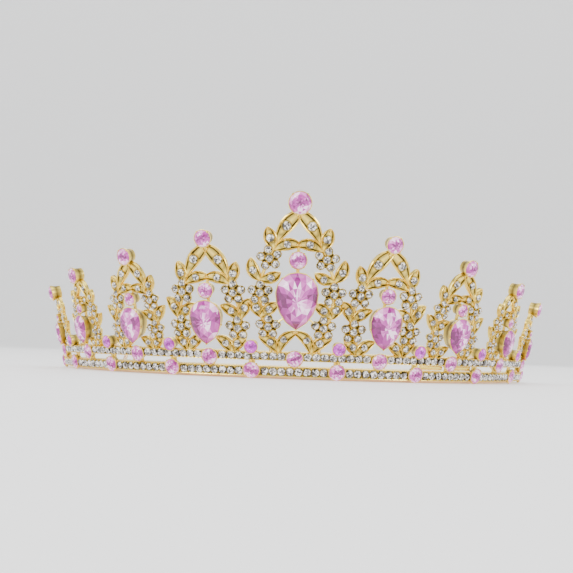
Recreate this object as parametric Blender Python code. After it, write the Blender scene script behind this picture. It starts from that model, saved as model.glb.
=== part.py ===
"""Party crown: a cast gilt tiara with pink and violet stones on a plain head wire.

Metres, +Z up, front towards -Y. The crown stands on its rim wire and on the two eyes at the back.
The cast parts follow a cone that flares outwards and upwards from the rim. A place on that cone is
given by an angle round the head, a height along the slope, and a depth out of the cone's surface.
"""
import math
from collections import namedtuple

import bpy
import numpy as np
from mathutils import Matrix

# Head opening and cone
RIM_RADIUS = 0.071
FLARE = math.radians(14.0)
STRIP_HALF_TURN = math.radians(90.0)
STATION_STEP = math.radians(5.0)
PITCH = math.radians(18.0)
RUNNING_GAP = 0.0003

# Bands, heights along the slope
LOWER_BAND_FOOT = 0.0010
LOWER_BAND_WIDTH = 0.0028
BAND_SLOT = 0.0016
UPPER_BAND_WIDTH = 0.0024
BAND_LIP = 0.0004
BAND_DEPTH = 0.0015
UPPER_BAND_BACK = 0.00003
UPPER_BAND_DEPTH = 0.00147
MERGE_START = math.radians(75.5)
MERGE_END = math.radians(83.0)

# Stones
BAND_STONE = 0.0044
LOWER_STONE_SHARE = 0.63
UPPER_STONE_SHARE = 0.32
TOP_STONE_CENTRE = 0.0060
TOP_STONE_SIDE = 0.0046
VIOLET_STONE = 0.0036
STONE_FACETS = 8
BAND_STONE_FACETS = 6
TABLE_SHARE = 0.56
BACK_SHARE = 0.52
CROWN_SHARE = 0.17
PAVILION_SHARE = 0.20
BAND_PAVILION_SHARE = 0.12
BAND_BACK_SHARE = 0.83
PEAR_POINT_POWER = 0.70
PEAR_SIDE_POWER = 0.5

# Medallions
CENTRE_HEIGHT = 0.0420
SIDE_HEIGHT = 0.0321
SIDE_SHARES = (1.0, 0.85, 0.70, 0.56)
LEAF_BACK = 0.0
LEAF_RIM = 0.00115
LEAF_GROOVE = 0.00080
LAYER_STEP = 0.00008
FLOWER_BACK = 0.00015
FLOWER_EDGE = 0.00095
FLOWER_CREST = 0.00175
STEM_BACK = 0.00022
STEM_FRONT = 0.00072
STEM_WIDTH = 0.0009
SPINE_BACK = 0.00018
SPINE_FRONT = 0.00065
SPINE_WIDTH = 0.0010
PETALS = 5
PETAL_TIP = 1.47
PETAL_VALLEY = 0.98
PETAL_ROOT = 0.52

# Cups and seats, depths out of the cone
CUP_BACK = -0.0004
CUP_SEAT = 0.0014
CUP_SIDES = 8
CUP_SHARE = 0.86
BAND_CUP_BACK = 0.0003
POST_WIDTH = 0.00176
POST_BACK = 0.0003
POST_FRONT = 0.00105
VIOLET_RISE = 0.0031

# Head wire
WIRE_THICKNESS = 0.0015
WIRE_SIDES = 8
ARM_LENGTH = 0.0460
ARM_INSET = 0.0030
ARM_STEPS = 10
ARM_HOLD = 0.42
ARM_HOLD_BACK = 0.21
EYE_OUTER = 0.0100
EYE_TURN_IN = math.radians(24.0)
EYE_SWEEP = math.radians(322.0)
EYE_STEPS = 14
BEND_SHARE = 0.82
BEND_STEPS = 4
RIM_STEP_BACK = 0.00005

# End clips
CLIP_TURN = math.radians(85.5)
CLIP_LENGTH = 0.0030
CLIP_WALL = 0.0008
LIP_LENGTH = 0.0029
LIP_OVERLAP = 0.00055
LIP_FOOT = 0.00068
LIP_INSET = 0.00004

# Share of the soldered frame's triangles that is kept, and the distance under which its points join
THINNING = 0.67
WELD_DISTANCE = 0.000004

# Colours, roughness and metallic value
FINISHES = {
    "gilt_metal": ((0.83, 0.60, 0.22), 0.22, 1.0),
    "wire_metal": ((0.93, 0.76, 0.56), 0.25, 1.0),
    "pink_stone": ((0.80, 0.42, 0.68), 0.05, 0.0),
    "violet_stone": ((0.66, 0.28, 0.78), 0.05, 0.0),
}

Leaf = namedtuple("Leaf", "tip_across tip_up base_across base_up width")
LeafPoint = namedtuple("LeafPoint", "along half_width")
Flower = namedtuple("Flower", "across up turn reach")
Stone = namedtuple("Stone", "up length width")
Layout = namedtuple("Layout", "leaves flowers stem spine neck pear small")

# A leaf's widest places and its groove: shares of its length from the base, and of its half width
LEAF_SHOULDERS = (LeafPoint(0.30, 0.92), LeafPoint(0.68, 0.86))
LEAF_GROOVE_ENDS = (0.27, 0.72)

# Right half of a medallion: shares of its height, up from the band stone, across from its middle
CENTRE_LAYOUT = Layout(
    leaves=(
        Leaf(-0.012, 0.930, 0.148, 0.733, 0.064),
        Leaf(0.198, 0.836, 0.148, 0.705, 0.062),
        Leaf(-0.018, 0.727, 0.150, 0.695, 0.060),
        Leaf(0.298, 0.643, 0.229, 0.498, 0.062),
        Leaf(0.105, 0.552, 0.233, 0.505, 0.060),
        Leaf(0.108, 0.354, 0.226, 0.262, 0.060),
        Leaf(0.310, 0.362, 0.217, 0.257, 0.062),
        Leaf(0.233, 0.136, 0.100, 0.034, 0.062),
        Leaf(-0.014, 0.172, 0.105, 0.024, 0.052),
    ),
    flowers=(
        Flower(0.179, 0.643, 81.0, 0.0555),
        Flower(0.231, 0.419, 90.0, 0.0555),
        Flower(0.174, 0.200, 90.0, 0.0555),
    ),
    stem=((0.150, 0.020), (0.174, 0.200), (0.221, 0.267), (0.231, 0.419),
          (0.229, 0.505), (0.179, 0.643), (0.148, 0.724)),
    spine=(0.530, 0.735),
    neck=(0.895, 0.985),
    pear=Stone(0.384, 0.364, 0.267),
    small=Stone(0.638, 0.110, 0.110),
)
SIDE_LAYOUT = Layout(
    leaves=(
        Leaf(-0.015, 0.912, 0.196, 0.672, 0.081),
        Leaf(0.255, 0.798, 0.187, 0.615, 0.081),
        Leaf(-0.022, 0.667, 0.196, 0.614, 0.078),
        Leaf(0.380, 0.495, 0.274, 0.315, 0.081),
        Leaf(0.106, 0.435, 0.280, 0.321, 0.078),
        Leaf(0.055, 0.165, 0.202, 0.031, 0.078),
        Leaf(0.318, 0.156, 0.193, 0.031, 0.081),
    ),
    flowers=(
        Flower(0.224, 0.545, 90.0, 0.0726),
        Flower(0.249, 0.243, 90.0, 0.0726),
    ),
    stem=((0.199, 0.030), (0.249, 0.243), (0.277, 0.330), (0.224, 0.545), (0.190, 0.648)),
    spine=(0.440, 0.680),
    neck=(0.875, 0.980),
    pear=Stone(0.3005, 0.371, 0.280),
    small=Stone(0.564, 0.131, 0.131),
)

# Derived heights and radii
LOWER_BAND_TOP = LOWER_BAND_FOOT + LOWER_BAND_WIDTH
UPPER_BAND_FOOT = LOWER_BAND_TOP + BAND_SLOT
UPPER_BAND_TOP = UPPER_BAND_FOOT + UPPER_BAND_WIDTH
LOWER_STONE_RISE = LOWER_BAND_FOOT + LOWER_BAND_WIDTH * LOWER_STONE_SHARE
UPPER_STONE_RISE = UPPER_BAND_FOOT + UPPER_BAND_WIDTH * UPPER_STONE_SHARE
WIRE_RADIUS = WIRE_THICKNESS / 2
WIRE_RING = RIM_RADIUS - RIM_STEP_BACK - RUNNING_GAP - WIRE_RADIUS + LOWER_BAND_FOOT * math.sin(FLARE)
EYE_RADIUS = EYE_OUTER / 2 - WIRE_RADIUS
WIRE_BEND = EYE_RADIUS * BEND_SHARE


def on_cone(turn, across, rise, depth):
    """World places of points on the cone, as rows of x, y and z.

    The across distance is measured round the cone at the point's own rise.
    """
    across, rise, depth = np.broadcast_arrays(across, rise, depth)
    surface = RIM_RADIUS + rise * math.sin(FLARE)
    angle = turn + across / surface
    reach = surface + depth * math.cos(FLARE)
    height = rise * math.cos(FLARE) - depth * math.sin(FLARE)
    return np.stack([reach * np.sin(angle), -reach * np.cos(angle), height], axis=-1)


def seat_matrix(turn, across, rise, depth):
    """Frame of a flat seat on the cone: local x across, local y up the slope, local z outwards."""
    place = on_cone(turn, across, rise, depth)
    angle = turn + across / (RIM_RADIUS + rise * math.sin(FLARE))
    right = (math.cos(angle), math.sin(angle), 0.0)
    out = (math.cos(FLARE) * math.sin(angle), -math.cos(FLARE) * math.cos(angle), -math.sin(FLARE))
    up = (math.sin(FLARE) * math.sin(angle), -math.sin(FLARE) * math.cos(angle), math.cos(FLARE))
    matrix = Matrix.Identity(4)
    for row in range(3):
        matrix[row][0] = right[row]
        matrix[row][1] = up[row]
        matrix[row][2] = out[row]
        matrix[row][3] = float(place[row])
    return matrix


def moved(points, matrix):
    """Points, as rows, carried by a 4 x 4 matrix."""
    grid = np.array(matrix)
    return points @ grid[:3, :3].T + grid[:3, 3]


class Shells:
    """Closed shells gathered into one mesh."""

    def __init__(self):
        self.points = []
        self.faces = []
        self.count = 0

    def add(self, points, faces, mirrored=False):
        """Add one closed shell, with its faces turned round if it is a mirror image."""
        order = -1 if mirrored else 1
        self.points.append(np.asarray(points))
        self.faces += [tuple(self.count + index for index in face[::order]) for face in faces]
        self.count += len(points)

    def mesh(self, name):
        """The gathered shells as one Blender mesh."""
        mesh = bpy.data.meshes.new(name)
        mesh.from_pydata(np.concatenate(self.points).tolist(), [], self.faces)
        mesh.update()
        return mesh


def loft_faces(rings, sides, closed=False):
    """Faces of a tube through rings of equal size, with end caps unless the last ring meets the first."""
    faces = []
    for ring in range(rings - 1 + closed):
        here, there = ring * sides, (ring + 1) % rings * sides
        for side in range(sides):
            after = (side + 1) % sides
            faces.append((here + side, here + after, there + after, there + side))
    if not closed:
        faces.append(tuple(reversed(range(sides))))
        faces.append(tuple(range((rings - 1) * sides, rings * sides)))
    return faces


def band_section(foot, top, back, front):
    """Corners of a band's section as rise and depth: its back, and the front of its row of stones."""
    return np.array([(foot, back), (top, back), (top, front), (foot, front)])


def station_turns():
    """Angles of the stations round the strip, from its left end to its right end."""
    steps = round(2 * STRIP_HALF_TURN / STATION_STEP)
    return np.linspace(-STRIP_HALF_TURN, STRIP_HALF_TURN, steps + 1)


def band_drop(turn):
    """How far the upper band has come down towards the lower band near the strip's ends."""
    share = min(max((abs(turn) - MERGE_START) / (MERGE_END - MERGE_START), 0.0), 1.0)
    eased = share * share * (3 - 2 * share)
    return eased * (UPPER_BAND_FOOT - LOWER_BAND_FOOT - BAND_LIP)


def add_lower_band(shells):
    """The lower band, from tip to tip of the strip."""
    section = band_section(LOWER_BAND_FOOT, LOWER_BAND_TOP, 0.0, BAND_DEPTH)
    turns = station_turns()
    rings = [on_cone(turn, 0.0, section[:, 0], section[:, 1]) for turn in turns]
    shells.add(np.concatenate(rings), loft_faces(len(turns), len(section)))


def add_upper_band(shells):
    """The upper band, which runs into the lower band near each end."""
    section = band_section(UPPER_BAND_FOOT, UPPER_BAND_TOP, UPPER_BAND_BACK, UPPER_BAND_DEPTH)
    turns = [turn for turn in station_turns() if abs(turn) <= MERGE_END + STATION_STEP / 2]
    rings = [on_cone(turn, 0.0, section[:, 0] - band_drop(turn), section[:, 1]) for turn in turns]
    shells.add(np.concatenate(rings), loft_faces(len(turns), len(section)))


def add_bar(shells, turn, route, width, back, front, mirrored=False):
    """A square bar along a route of across and rise, mitred at its corners."""
    route = np.array(route, dtype=float)
    steps = np.diff(route, axis=0)
    steps /= np.linalg.norm(steps, axis=1)[:, None]
    ahead = np.vstack([steps, steps[-1]])
    behind = np.vstack([steps[0], steps])
    middle = ahead + behind
    middle /= np.linalg.norm(middle, axis=1)[:, None]
    stretch = 1.0 / np.maximum(np.sum(middle * ahead, axis=1), 0.5)
    side = np.stack([middle[:, 1], -middle[:, 0]], axis=1) * (stretch * width / 2)[:, None]
    rights, lefts = route + side, route - side
    rings = []
    for right, left in zip(rights, lefts):
        flat = np.array([(*right, back), (*right, front), (*left, front), (*left, back)])
        if mirrored:
            flat[:, 0] *= -1
        rings.append(on_cone(turn, flat[:, 0], flat[:, 1], flat[:, 2]))
    shells.add(np.concatenate(rings), loft_faces(len(route), 4), not mirrored)


def add_leaf(shells, turn, foot_rise, scale, leaf, mirrored, layer):
    """A pointed boat-shaped leaf with a groove along its middle, a little way forward in its layer."""
    tip = np.array([leaf.tip_across, leaf.tip_up]) * scale
    base = np.array([leaf.base_across, leaf.base_up]) * scale
    along = tip - base
    side = np.array([along[1], -along[0]]) / np.linalg.norm(along) * leaf.width * scale / 2
    rights = [base + row.along * along + row.half_width * side for row in LEAF_SHOULDERS]
    lefts = [base + row.along * along - row.half_width * side for row in LEAF_SHOULDERS]
    outline = [base, *rights, tip, *reversed(lefts)]
    flat = [(*point, LEAF_BACK) for point in outline]
    flat += [(*point, LEAF_RIM) for point in outline]
    flat += [(*(base + share * along), LEAF_GROOVE) for share in LEAF_GROOVE_ENDS]
    flat = np.array(flat) + (0.0, 0.0, layer * LAYER_STEP)
    if mirrored:
        flat[:, 0] *= -1
    faces = [(5, 4, 3, 2, 1, 0)]
    faces += [(side_at, (side_at + 1) % 6, (side_at + 1) % 6 + 6, side_at + 6) for side_at in range(6)]
    faces += [(6, 7, 12), (7, 8, 13, 12), (8, 9, 13), (9, 10, 13), (10, 11, 12, 13), (11, 6, 12)]
    points = on_cone(turn, flat[:, 0], foot_rise + flat[:, 1], flat[:, 2])
    shells.add(points, faces, mirrored)


def add_flower(shells, turn, foot_rise, scale, flower, mirrored):
    """A flower of five petals round a middle, each rising to a crest where its small stone sits."""
    sense = -1 if mirrored else 1
    reach = flower.reach * scale
    heading = math.radians(180.0 - flower.turn if mirrored else flower.turn)
    petal = heading + np.arange(PETALS) * 2 * math.pi / PETALS
    valley = petal + math.pi / PETALS
    edge_angles = np.stack([petal, valley], axis=1).ravel()
    edge_reach = np.tile([reach * PETAL_TIP, reach * PETAL_VALLEY], PETALS)

    def ring(angles, distance, depth):
        across, up = distance * np.cos(angles), distance * np.sin(angles)
        return np.stack([across, up, np.full(len(angles), depth)], axis=1)

    count = 2 * PETALS
    points = np.concatenate([
        ring(edge_angles, edge_reach, FLOWER_BACK),
        ring(edge_angles, edge_reach, FLOWER_EDGE),
        ring(valley, reach * PETAL_ROOT, FLOWER_EDGE),
        ring(petal, reach, FLOWER_CREST),
        np.array([(0.0, 0.0, FLOWER_CREST)]),
    ])
    inner, crest, middle = 2 * count, 2 * count + PETALS, 2 * count + 2 * PETALS
    faces = [tuple(reversed(range(count)))]
    faces += [(at, (at + 1) % count, (at + 1) % count + count, at + count) for at in range(count)]
    for at in range(PETALS):
        before = (at - 1) % PETALS
        tip, valley_after, valley_before = count + 2 * at, count + 2 * at + 1, count + 2 * before + 1
        loop = (tip, valley_after, inner + at, inner + before, valley_before)
        faces += [(loop[step], loop[(step + 1) % 5], crest + at) for step in range(5)]
        faces.append((inner + before, inner + at, middle))
    seat = seat_matrix(turn, sense * flower.across * scale, foot_rise + flower.up * scale, 0.0)
    shells.add(moved(points, seat), faces)


def round_outline(count, radius, phase=0.0):
    """Points of a circle, starting at the bottom."""
    angle = -math.pi / 2 + phase + np.arange(count) * 2 * math.pi / count
    return np.stack([radius * np.cos(angle), radius * np.sin(angle)], axis=1)


def pear_outline(count, length, width):
    """Points of a pear shape, starting at its point below: a half circle on two flat curves.

    The origin is the middle of its length. The half width follows the sine of the share of the
    height for the round top, and a power of it for the drawn-out point.
    """
    radius = width / 2
    shoulder = length / 2 - radius
    turns = np.arange(count) * 2 * math.pi / count
    across = np.empty(count)
    up = np.empty(count)
    for index, turn in enumerate(turns):
        if math.pi / 2 <= turn <= 3 * math.pi / 2:
            across[index] = radius * math.sin(turn)
            up[index] = shoulder - radius * math.cos(turn)
        else:
            share = abs(math.sin(turn))
            across[index] = math.copysign(radius * share ** PEAR_POINT_POWER, math.sin(turn))
            drawn = 1 - (1 - share) ** PEAR_SIDE_POWER
            up[index] = -length / 2 + (shoulder + length / 2) * drawn
    return np.stack([across, up], axis=1)


def prism(outline, back, front):
    """A closed drum over a flat outline, given with its two depths."""
    count = len(outline)
    rings = [np.column_stack([outline, np.full(count, depth)]) for depth in (back, front)]
    return np.concatenate(rings), loft_faces(2, count)


def cut_stone(girdle, facets, back_depth, girdle_depth, table_depth, back_share):
    """A cut stone: flat back, a girdle of two points for each facet, and a flat table.

    Args:
        girdle: Outline of the girdle, with twice as many points as the table has corners.
        facets: Number of the table's corners.
        back_depth, girdle_depth, table_depth: Depths of the back, the girdle and the table.
        back_share: Size of the back as a share of the girdle.
    """
    corners = girdle[::2]
    points = np.concatenate([
        np.column_stack([corners * back_share, np.full(facets, back_depth)]),
        np.column_stack([girdle, np.full(2 * facets, girdle_depth)]),
        np.column_stack([corners * TABLE_SHARE, np.full(facets, table_depth)]),
    ])
    first, table = facets, 3 * facets
    faces = [tuple(reversed(range(facets))), tuple(range(table, table + facets))]
    for at in range(facets):
        after = (at + 1) % facets
        left, middle, right = first + 2 * at, first + 2 * at + 1, first + 2 * after
        faces += [(at, middle, left), (at, after, middle), (after, right, middle)]
        faces += [(left, middle, table + at), (middle, table + after, table + at),
                  (middle, right, table + after)]
    return points, faces


def medallions():
    """Angle, height, layout, top stone and name ending of each medallion, from the middle outwards."""
    rows = [(0.0, CENTRE_HEIGHT, CENTRE_LAYOUT, TOP_STONE_CENTRE, "centre")]
    for step, share in enumerate(SIDE_SHARES, start=1):
        for sign, side in ((-1, "left"), (1, "right")):
            rows.append((sign * step * PITCH, SIDE_HEIGHT * share, SIDE_LAYOUT, TOP_STONE_SIDE,
                         f"{side}_{step}"))
    return rows


def half_pitch_turns(count):
    """Angles of places half a pitch off the medallions, a given number on each side."""
    return [(sign * (step + 0.5) * PITCH, f"{side}_{step + 1}")
            for step in range(count) for sign, side in ((-1, "left"), (1, "right"))]


def add_cup(shells, seat, outline):
    """The closed cup behind a stone, on a flat seat of the cone."""
    points, faces = prism(outline, CUP_BACK, CUP_SEAT)
    shells.add(moved(points, seat), faces)


def add_medallion(shells, turn, height, layout, top_size):
    """One leaf-and-flower medallion: stems, leaves, flowers, spine and the cups of its three stones."""
    foot = UPPER_STONE_RISE
    for mirrored in (False, True):
        route = [(across * height, foot + up * height) for across, up in layout.stem]
        add_bar(shells, turn, route, STEM_WIDTH, STEM_BACK, STEM_FRONT, mirrored)
        for order, leaf in enumerate(layout.leaves):
            add_leaf(shells, turn, foot, height, leaf, mirrored, order % 3 + mirrored / 2)
        for flower in layout.flowers:
            add_flower(shells, turn, foot, height, flower, mirrored)
    for low, high in (layout.spine, layout.neck):
        route = [(0.0, foot + low * height), (0.0, foot + high * height)]
        add_bar(shells, turn, route, SPINE_WIDTH, SPINE_BACK, SPINE_FRONT)
    pear, small = layout.pear, layout.small
    outline = pear_outline(CUP_SIDES, pear.length * height, pear.width * height) * CUP_SHARE
    add_cup(shells, seat_matrix(turn, 0.0, foot + pear.up * height, 0.0), outline)
    outline = round_outline(CUP_SIDES, small.width * height / 2 * CUP_SHARE)
    add_cup(shells, seat_matrix(turn, 0.0, foot + small.up * height, 0.0), outline)
    outline = round_outline(CUP_SIDES, top_size / 2 * CUP_SHARE)
    add_cup(shells, seat_matrix(turn, 0.0, foot + height, 0.0), outline)


def add_band_stone(shells, turn, rise):
    """A pink stone of a band, fused to its cup, and the post behind it that joins the two bands."""
    girdle = round_outline(2 * BAND_STONE_FACETS, BAND_STONE / 2)
    girdle_depth = BAND_DEPTH + BAND_PAVILION_SHARE * BAND_STONE
    points, faces = cut_stone(girdle, BAND_STONE_FACETS, BAND_CUP_BACK, girdle_depth,
                              girdle_depth + CROWN_SHARE * BAND_STONE, BAND_BACK_SHARE)
    shells.add(moved(points, seat_matrix(turn, 0.0, rise, 0.0)), faces)
    route = [(0.0, LOWER_BAND_TOP - BAND_LIP * 2), (0.0, UPPER_BAND_FOOT + BAND_LIP * 2)]
    add_bar(shells, turn, route, POST_WIDTH, POST_BACK, POST_FRONT)


def add_violet_seat(shells, turn):
    """The cup of a violet stone and the short foot that stands it on the upper band."""
    rise = UPPER_STONE_RISE + VIOLET_RISE
    outline = round_outline(CUP_SIDES, VIOLET_STONE / 2 * CUP_SHARE)
    add_cup(shells, seat_matrix(turn, 0.0, rise, 0.0), outline)
    route = [(0.0, UPPER_BAND_TOP - BAND_LIP * 2), (0.0, rise)]
    add_bar(shells, turn, route, STEM_WIDTH, STEM_BACK, STEM_FRONT)


def add_clip(shells, sign):
    """The clip at a strip end: a plate over the head wire and a lip down its inner side."""
    slope_depth = (WIRE_RING - RIM_RADIUS) * math.cos(FLARE) - WIRE_RADIUS * math.sin(FLARE)
    slope_rise = (WIRE_RING - RIM_RADIUS) * math.sin(FLARE) + WIRE_RADIUS * math.cos(FLARE)
    reach = WIRE_RADIUS + RUNNING_GAP + LIP_INSET
    inner = slope_depth - reach - CLIP_WALL
    plate_foot = slope_rise + reach
    half = CLIP_LENGTH / 2
    plate = [(-half, plate_foot + CLIP_WALL / 2), (half, plate_foot + CLIP_WALL / 2)]
    add_bar(shells, sign * CLIP_TURN, plate, CLIP_WALL, inner, BAND_DEPTH / 2)
    lip_foot = slope_rise - LIP_FOOT
    lip_top = plate_foot + LIP_OVERLAP
    lip_middle = (lip_foot + lip_top) / 2
    lip = [(-LIP_LENGTH / 2, lip_middle), (LIP_LENGTH / 2, lip_middle)]
    add_bar(shells, sign * CLIP_TURN, lip, lip_top - lip_foot, inner + LIP_INSET, inner + CLIP_WALL)


def wire_half():
    """Right half of the head wire's middle line: quarter turn, arm, bend and eye, from front to end."""
    turns = [turn for turn in station_turns() if turn > 1e-6]
    ring = [(WIRE_RING * math.sin(turn), -WIRE_RING * math.cos(turn), WIRE_RADIUS) for turn in turns]
    inward = np.array([-math.sin(EYE_TURN_IN), math.cos(EYE_TURN_IN), 0.0])
    upward = np.array([0.0, 0.0, 1.0])
    bend_top = EYE_OUTER / 2 + WIRE_BEND
    start = np.array(ring[-1])
    finish = np.array([WIRE_RING - ARM_INSET, start[1] + ARM_LENGTH, bend_top])
    hold_start = start + np.array([0.0, ARM_LENGTH * ARM_HOLD, 0.0])
    hold_finish = finish - inward * ARM_LENGTH * ARM_HOLD_BACK
    arm = []
    for step in range(1, ARM_STEPS + 1):
        share = step / ARM_STEPS
        rest = 1 - share
        arm.append(rest ** 3 * start + 3 * rest ** 2 * share * hold_start
                   + 3 * rest * share ** 2 * hold_finish + share ** 3 * finish)
    pivot = finish - upward * WIRE_BEND
    bend = []
    for step in range(1, BEND_STEPS + 1):
        angle = math.pi / 2 * step / BEND_STEPS
        bend.append(pivot + WIRE_BEND * (inward * math.sin(angle) + upward * math.cos(angle)))
    centre = bend[-1] + inward * EYE_RADIUS
    eye = []
    for step in range(1, EYE_STEPS + 1):
        angle = EYE_SWEEP * step / EYE_STEPS
        eye.append(centre - EYE_RADIUS * (inward * math.cos(angle) + upward * math.sin(angle)))
    return np.array(ring + arm + bend + eye)


def wire_mesh():
    """The whole head wire as one closed tube, with a flat facet underneath along the rim."""
    half = wire_half()
    front = np.array([[0.0, -WIRE_RING, WIRE_RADIUS]])
    path = np.concatenate([half[::-1] * (-1, 1, 1), front, half])
    middle = len(half)
    steps = np.diff(path, axis=0)
    steps /= np.linalg.norm(steps, axis=1)[:, None]
    tangents = np.vstack([steps[0], steps[:-1] + steps[1:], steps[-1]])
    tangents /= np.linalg.norm(tangents, axis=1)[:, None]
    ups = np.zeros_like(path)
    ups[middle] = (0.0, 0.0, 1.0)
    for sense in (1, -1):
        at = middle
        while 0 <= at + sense < len(path):
            carried = ups[at] - tangents[at + sense] * np.dot(ups[at], tangents[at + sense])
            ups[at + sense] = carried / np.linalg.norm(carried)
            at += sense
    sides = np.cross(tangents, ups)
    angles = (np.arange(WIRE_SIDES) + 0.5) * 2 * math.pi / WIRE_SIDES
    reach = WIRE_RADIUS / math.cos(math.pi / WIRE_SIDES)
    rings = (path[:, None, :] + reach * (np.cos(angles)[None, :, None] * ups[:, None, :]
                                         + np.sin(angles)[None, :, None] * sides[:, None, :]))
    shells = Shells()
    shells.add(rings.reshape(-1, 3), loft_faces(len(path), WIRE_SIDES))
    return shells.mesh("head_wire"), path


def finish_material(name):
    """A plain metal or stone material by its name in the list of finishes."""
    colour, roughness, metallic = FINISHES[name]
    material = bpy.data.materials.new(name)
    material.use_nodes = True
    shader = material.node_tree.nodes["Principled BSDF"]
    shader.inputs["Base Color"].default_value = (*colour, 1.0)
    shader.inputs["Roughness"].default_value = roughness
    shader.inputs["Metallic"].default_value = metallic
    return material


def place(name, mesh, material, root, matrix=None):
    """Put a mesh in the scene as one named object under the crown's root."""
    if not mesh.materials:
        mesh.materials.append(material)
    body = bpy.data.objects.new(name, mesh)
    bpy.context.scene.collection.objects.link(body)
    body.parent = root
    if matrix is not None:
        body.matrix_local = matrix
    return body


def stone_mesh(name, girdle):
    """Mesh of a loose stone on its seat: its back a running gap in front of the cup."""
    size = float(np.ptp(girdle[:, 0]))
    shells = Shells()
    shells.add(*cut_stone(girdle, STONE_FACETS, 0.0, PAVILION_SHARE * size,
                          (PAVILION_SHARE + CROWN_SHARE) * size, BACK_SHARE))
    return shells.mesh(name)


def build_frame(root, material):
    """The cast frame: the lower band joined with everything that is soldered to it."""
    band = Shells()
    add_lower_band(band)
    frame = place("crown_frame", band.mesh("crown_frame"), material, root)
    castings = Shells()
    add_upper_band(castings)
    for turn, height, layout, top_size, _ in medallions():
        add_medallion(castings, turn, height, layout, top_size)
        add_band_stone(castings, turn, UPPER_STONE_RISE)
    for turn, _ in half_pitch_turns(5):
        add_band_stone(castings, turn, LOWER_STONE_RISE)
    for turn, _ in half_pitch_turns(4):
        add_violet_seat(castings, turn)
    for sign in (-1, 1):
        add_clip(castings, sign)
    parts = place("castings", castings.mesh("castings"), material, root)
    parts.hide_render = True
    parts.display_type = "WIRE"
    union = frame.modifiers.new("solder", "BOOLEAN")
    union.operation = "UNION"
    union.solver = "EXACT"
    union.use_self = True
    union.object = parts
    thin = frame.modifiers.new("thin", "DECIMATE")
    thin.decimate_type = "COLLAPSE"
    thin.ratio = THINNING
    weld = frame.modifiers.new("weld", "WELD")
    weld.merge_threshold = WELD_DISTANCE


def build_stones(root, pink, violet):
    """The loose stones of the medallions and the violet stones between them."""
    seat_depth = CUP_SEAT + RUNNING_GAP
    count = 2 * STONE_FACETS
    for turn, height, layout, top_size, ending in medallions():
        rows = (
            ("pear_stone", layout.pear.up, pear_outline(count, layout.pear.length * height,
                                                        layout.pear.width * height)),
            ("small_stone", layout.small.up, round_outline(count, layout.small.width * height / 2)),
            ("top_stone", 1.0, round_outline(count, top_size / 2)),
        )
        for kind, up, girdle in rows:
            name = f"{kind}_{ending}"
            seat = seat_matrix(turn, 0.0, UPPER_STONE_RISE + up * height, seat_depth)
            place(name, stone_mesh(name, girdle), pink, root, seat)
    for turn, ending in half_pitch_turns(4):
        name = f"violet_stone_{ending}"
        seat = seat_matrix(turn, 0.0, UPPER_STONE_RISE + VIOLET_RISE, seat_depth)
        place(name, stone_mesh(name, round_outline(count, VIOLET_STONE / 2)), violet, root, seat)


def front_reach():
    """Distance from the cone's axis to the front of the middle top stone."""
    table = CUP_SEAT + RUNNING_GAP + (PAVILION_SHARE + CROWN_SHARE) * TOP_STONE_CENTRE
    corner = TABLE_SHARE * TOP_STONE_CENTRE / 2
    rise = UPPER_STONE_RISE + CENTRE_HEIGHT
    return -float(on_cone(0.0, 0.0, rise + corner, table)[1])


def main():
    """Build the crown."""
    for thing in list(bpy.data.objects):
        bpy.data.objects.remove(thing, do_unlink=True)
    gilt, wire, pink, violet = (finish_material(name) for name in FINISHES)
    mesh, path = wire_mesh()
    root = bpy.data.objects.new("crown_root", None)
    bpy.context.scene.collection.objects.link(root)
    back_reach = float(path[:, 1].max()) + WIRE_RADIUS
    root.location = (0.0, (front_reach() - back_reach) / 2, 0.0)
    body = place("head_wire", mesh, wire, root)
    body.data.shade_smooth()
    body.data.set_sharp_from_angle(angle=math.radians(60.0))
    build_frame(root, gilt)
    build_stones(root, pink, violet)


main()
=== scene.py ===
"""Looks of a gilt party crown: two bands of small clear stones, nine leaf-and-flower medallions with
pink stones, violet stones between them, and a plain head wire with an eye at each end.

Metres, +Z up, front towards -Y. The castings follow a cone that flares upwards and outwards from the
rim. A place on it is given by a turn round the head, a distance across, a rise up the slope and a
depth out of the cone's surface.
"""
from __future__ import annotations

import logging
import math
from dataclasses import dataclass
from enum import Enum
from typing import Any, Callable, Mapping, NamedTuple, Sequence

import bpy
import numpy as np
from mathutils import Matrix, Vector


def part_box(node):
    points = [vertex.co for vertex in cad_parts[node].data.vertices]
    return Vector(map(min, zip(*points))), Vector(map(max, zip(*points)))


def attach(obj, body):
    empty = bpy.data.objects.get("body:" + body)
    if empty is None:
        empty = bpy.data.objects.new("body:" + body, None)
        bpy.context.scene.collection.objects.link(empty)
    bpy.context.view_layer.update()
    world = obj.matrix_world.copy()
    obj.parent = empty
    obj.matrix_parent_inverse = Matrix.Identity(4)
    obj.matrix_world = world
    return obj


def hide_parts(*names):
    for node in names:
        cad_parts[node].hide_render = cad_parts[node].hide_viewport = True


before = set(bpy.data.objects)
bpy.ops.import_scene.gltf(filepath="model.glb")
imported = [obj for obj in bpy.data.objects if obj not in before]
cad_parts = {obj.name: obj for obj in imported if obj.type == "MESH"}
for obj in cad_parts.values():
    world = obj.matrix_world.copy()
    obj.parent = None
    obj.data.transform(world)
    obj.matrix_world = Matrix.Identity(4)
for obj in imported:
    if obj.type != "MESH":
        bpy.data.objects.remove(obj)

LOG = logging.getLogger("crown")
Array = np.ndarray
Colour = tuple[float, float, float]
Place = tuple[float, float, float]
Stops = Sequence[tuple[float, Colour]]
MM = 0.001
FULL_TURN = 2 * math.pi
PEAR_POWER = 0.7
BACK_TONE = 0.3
GILT_SMOOTH = math.radians(50.0)
SEED = 7


class Side(Enum):
    """The crown's two halves, as the wearer's front is seen."""

    LEFT = -1
    RIGHT = 1


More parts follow.
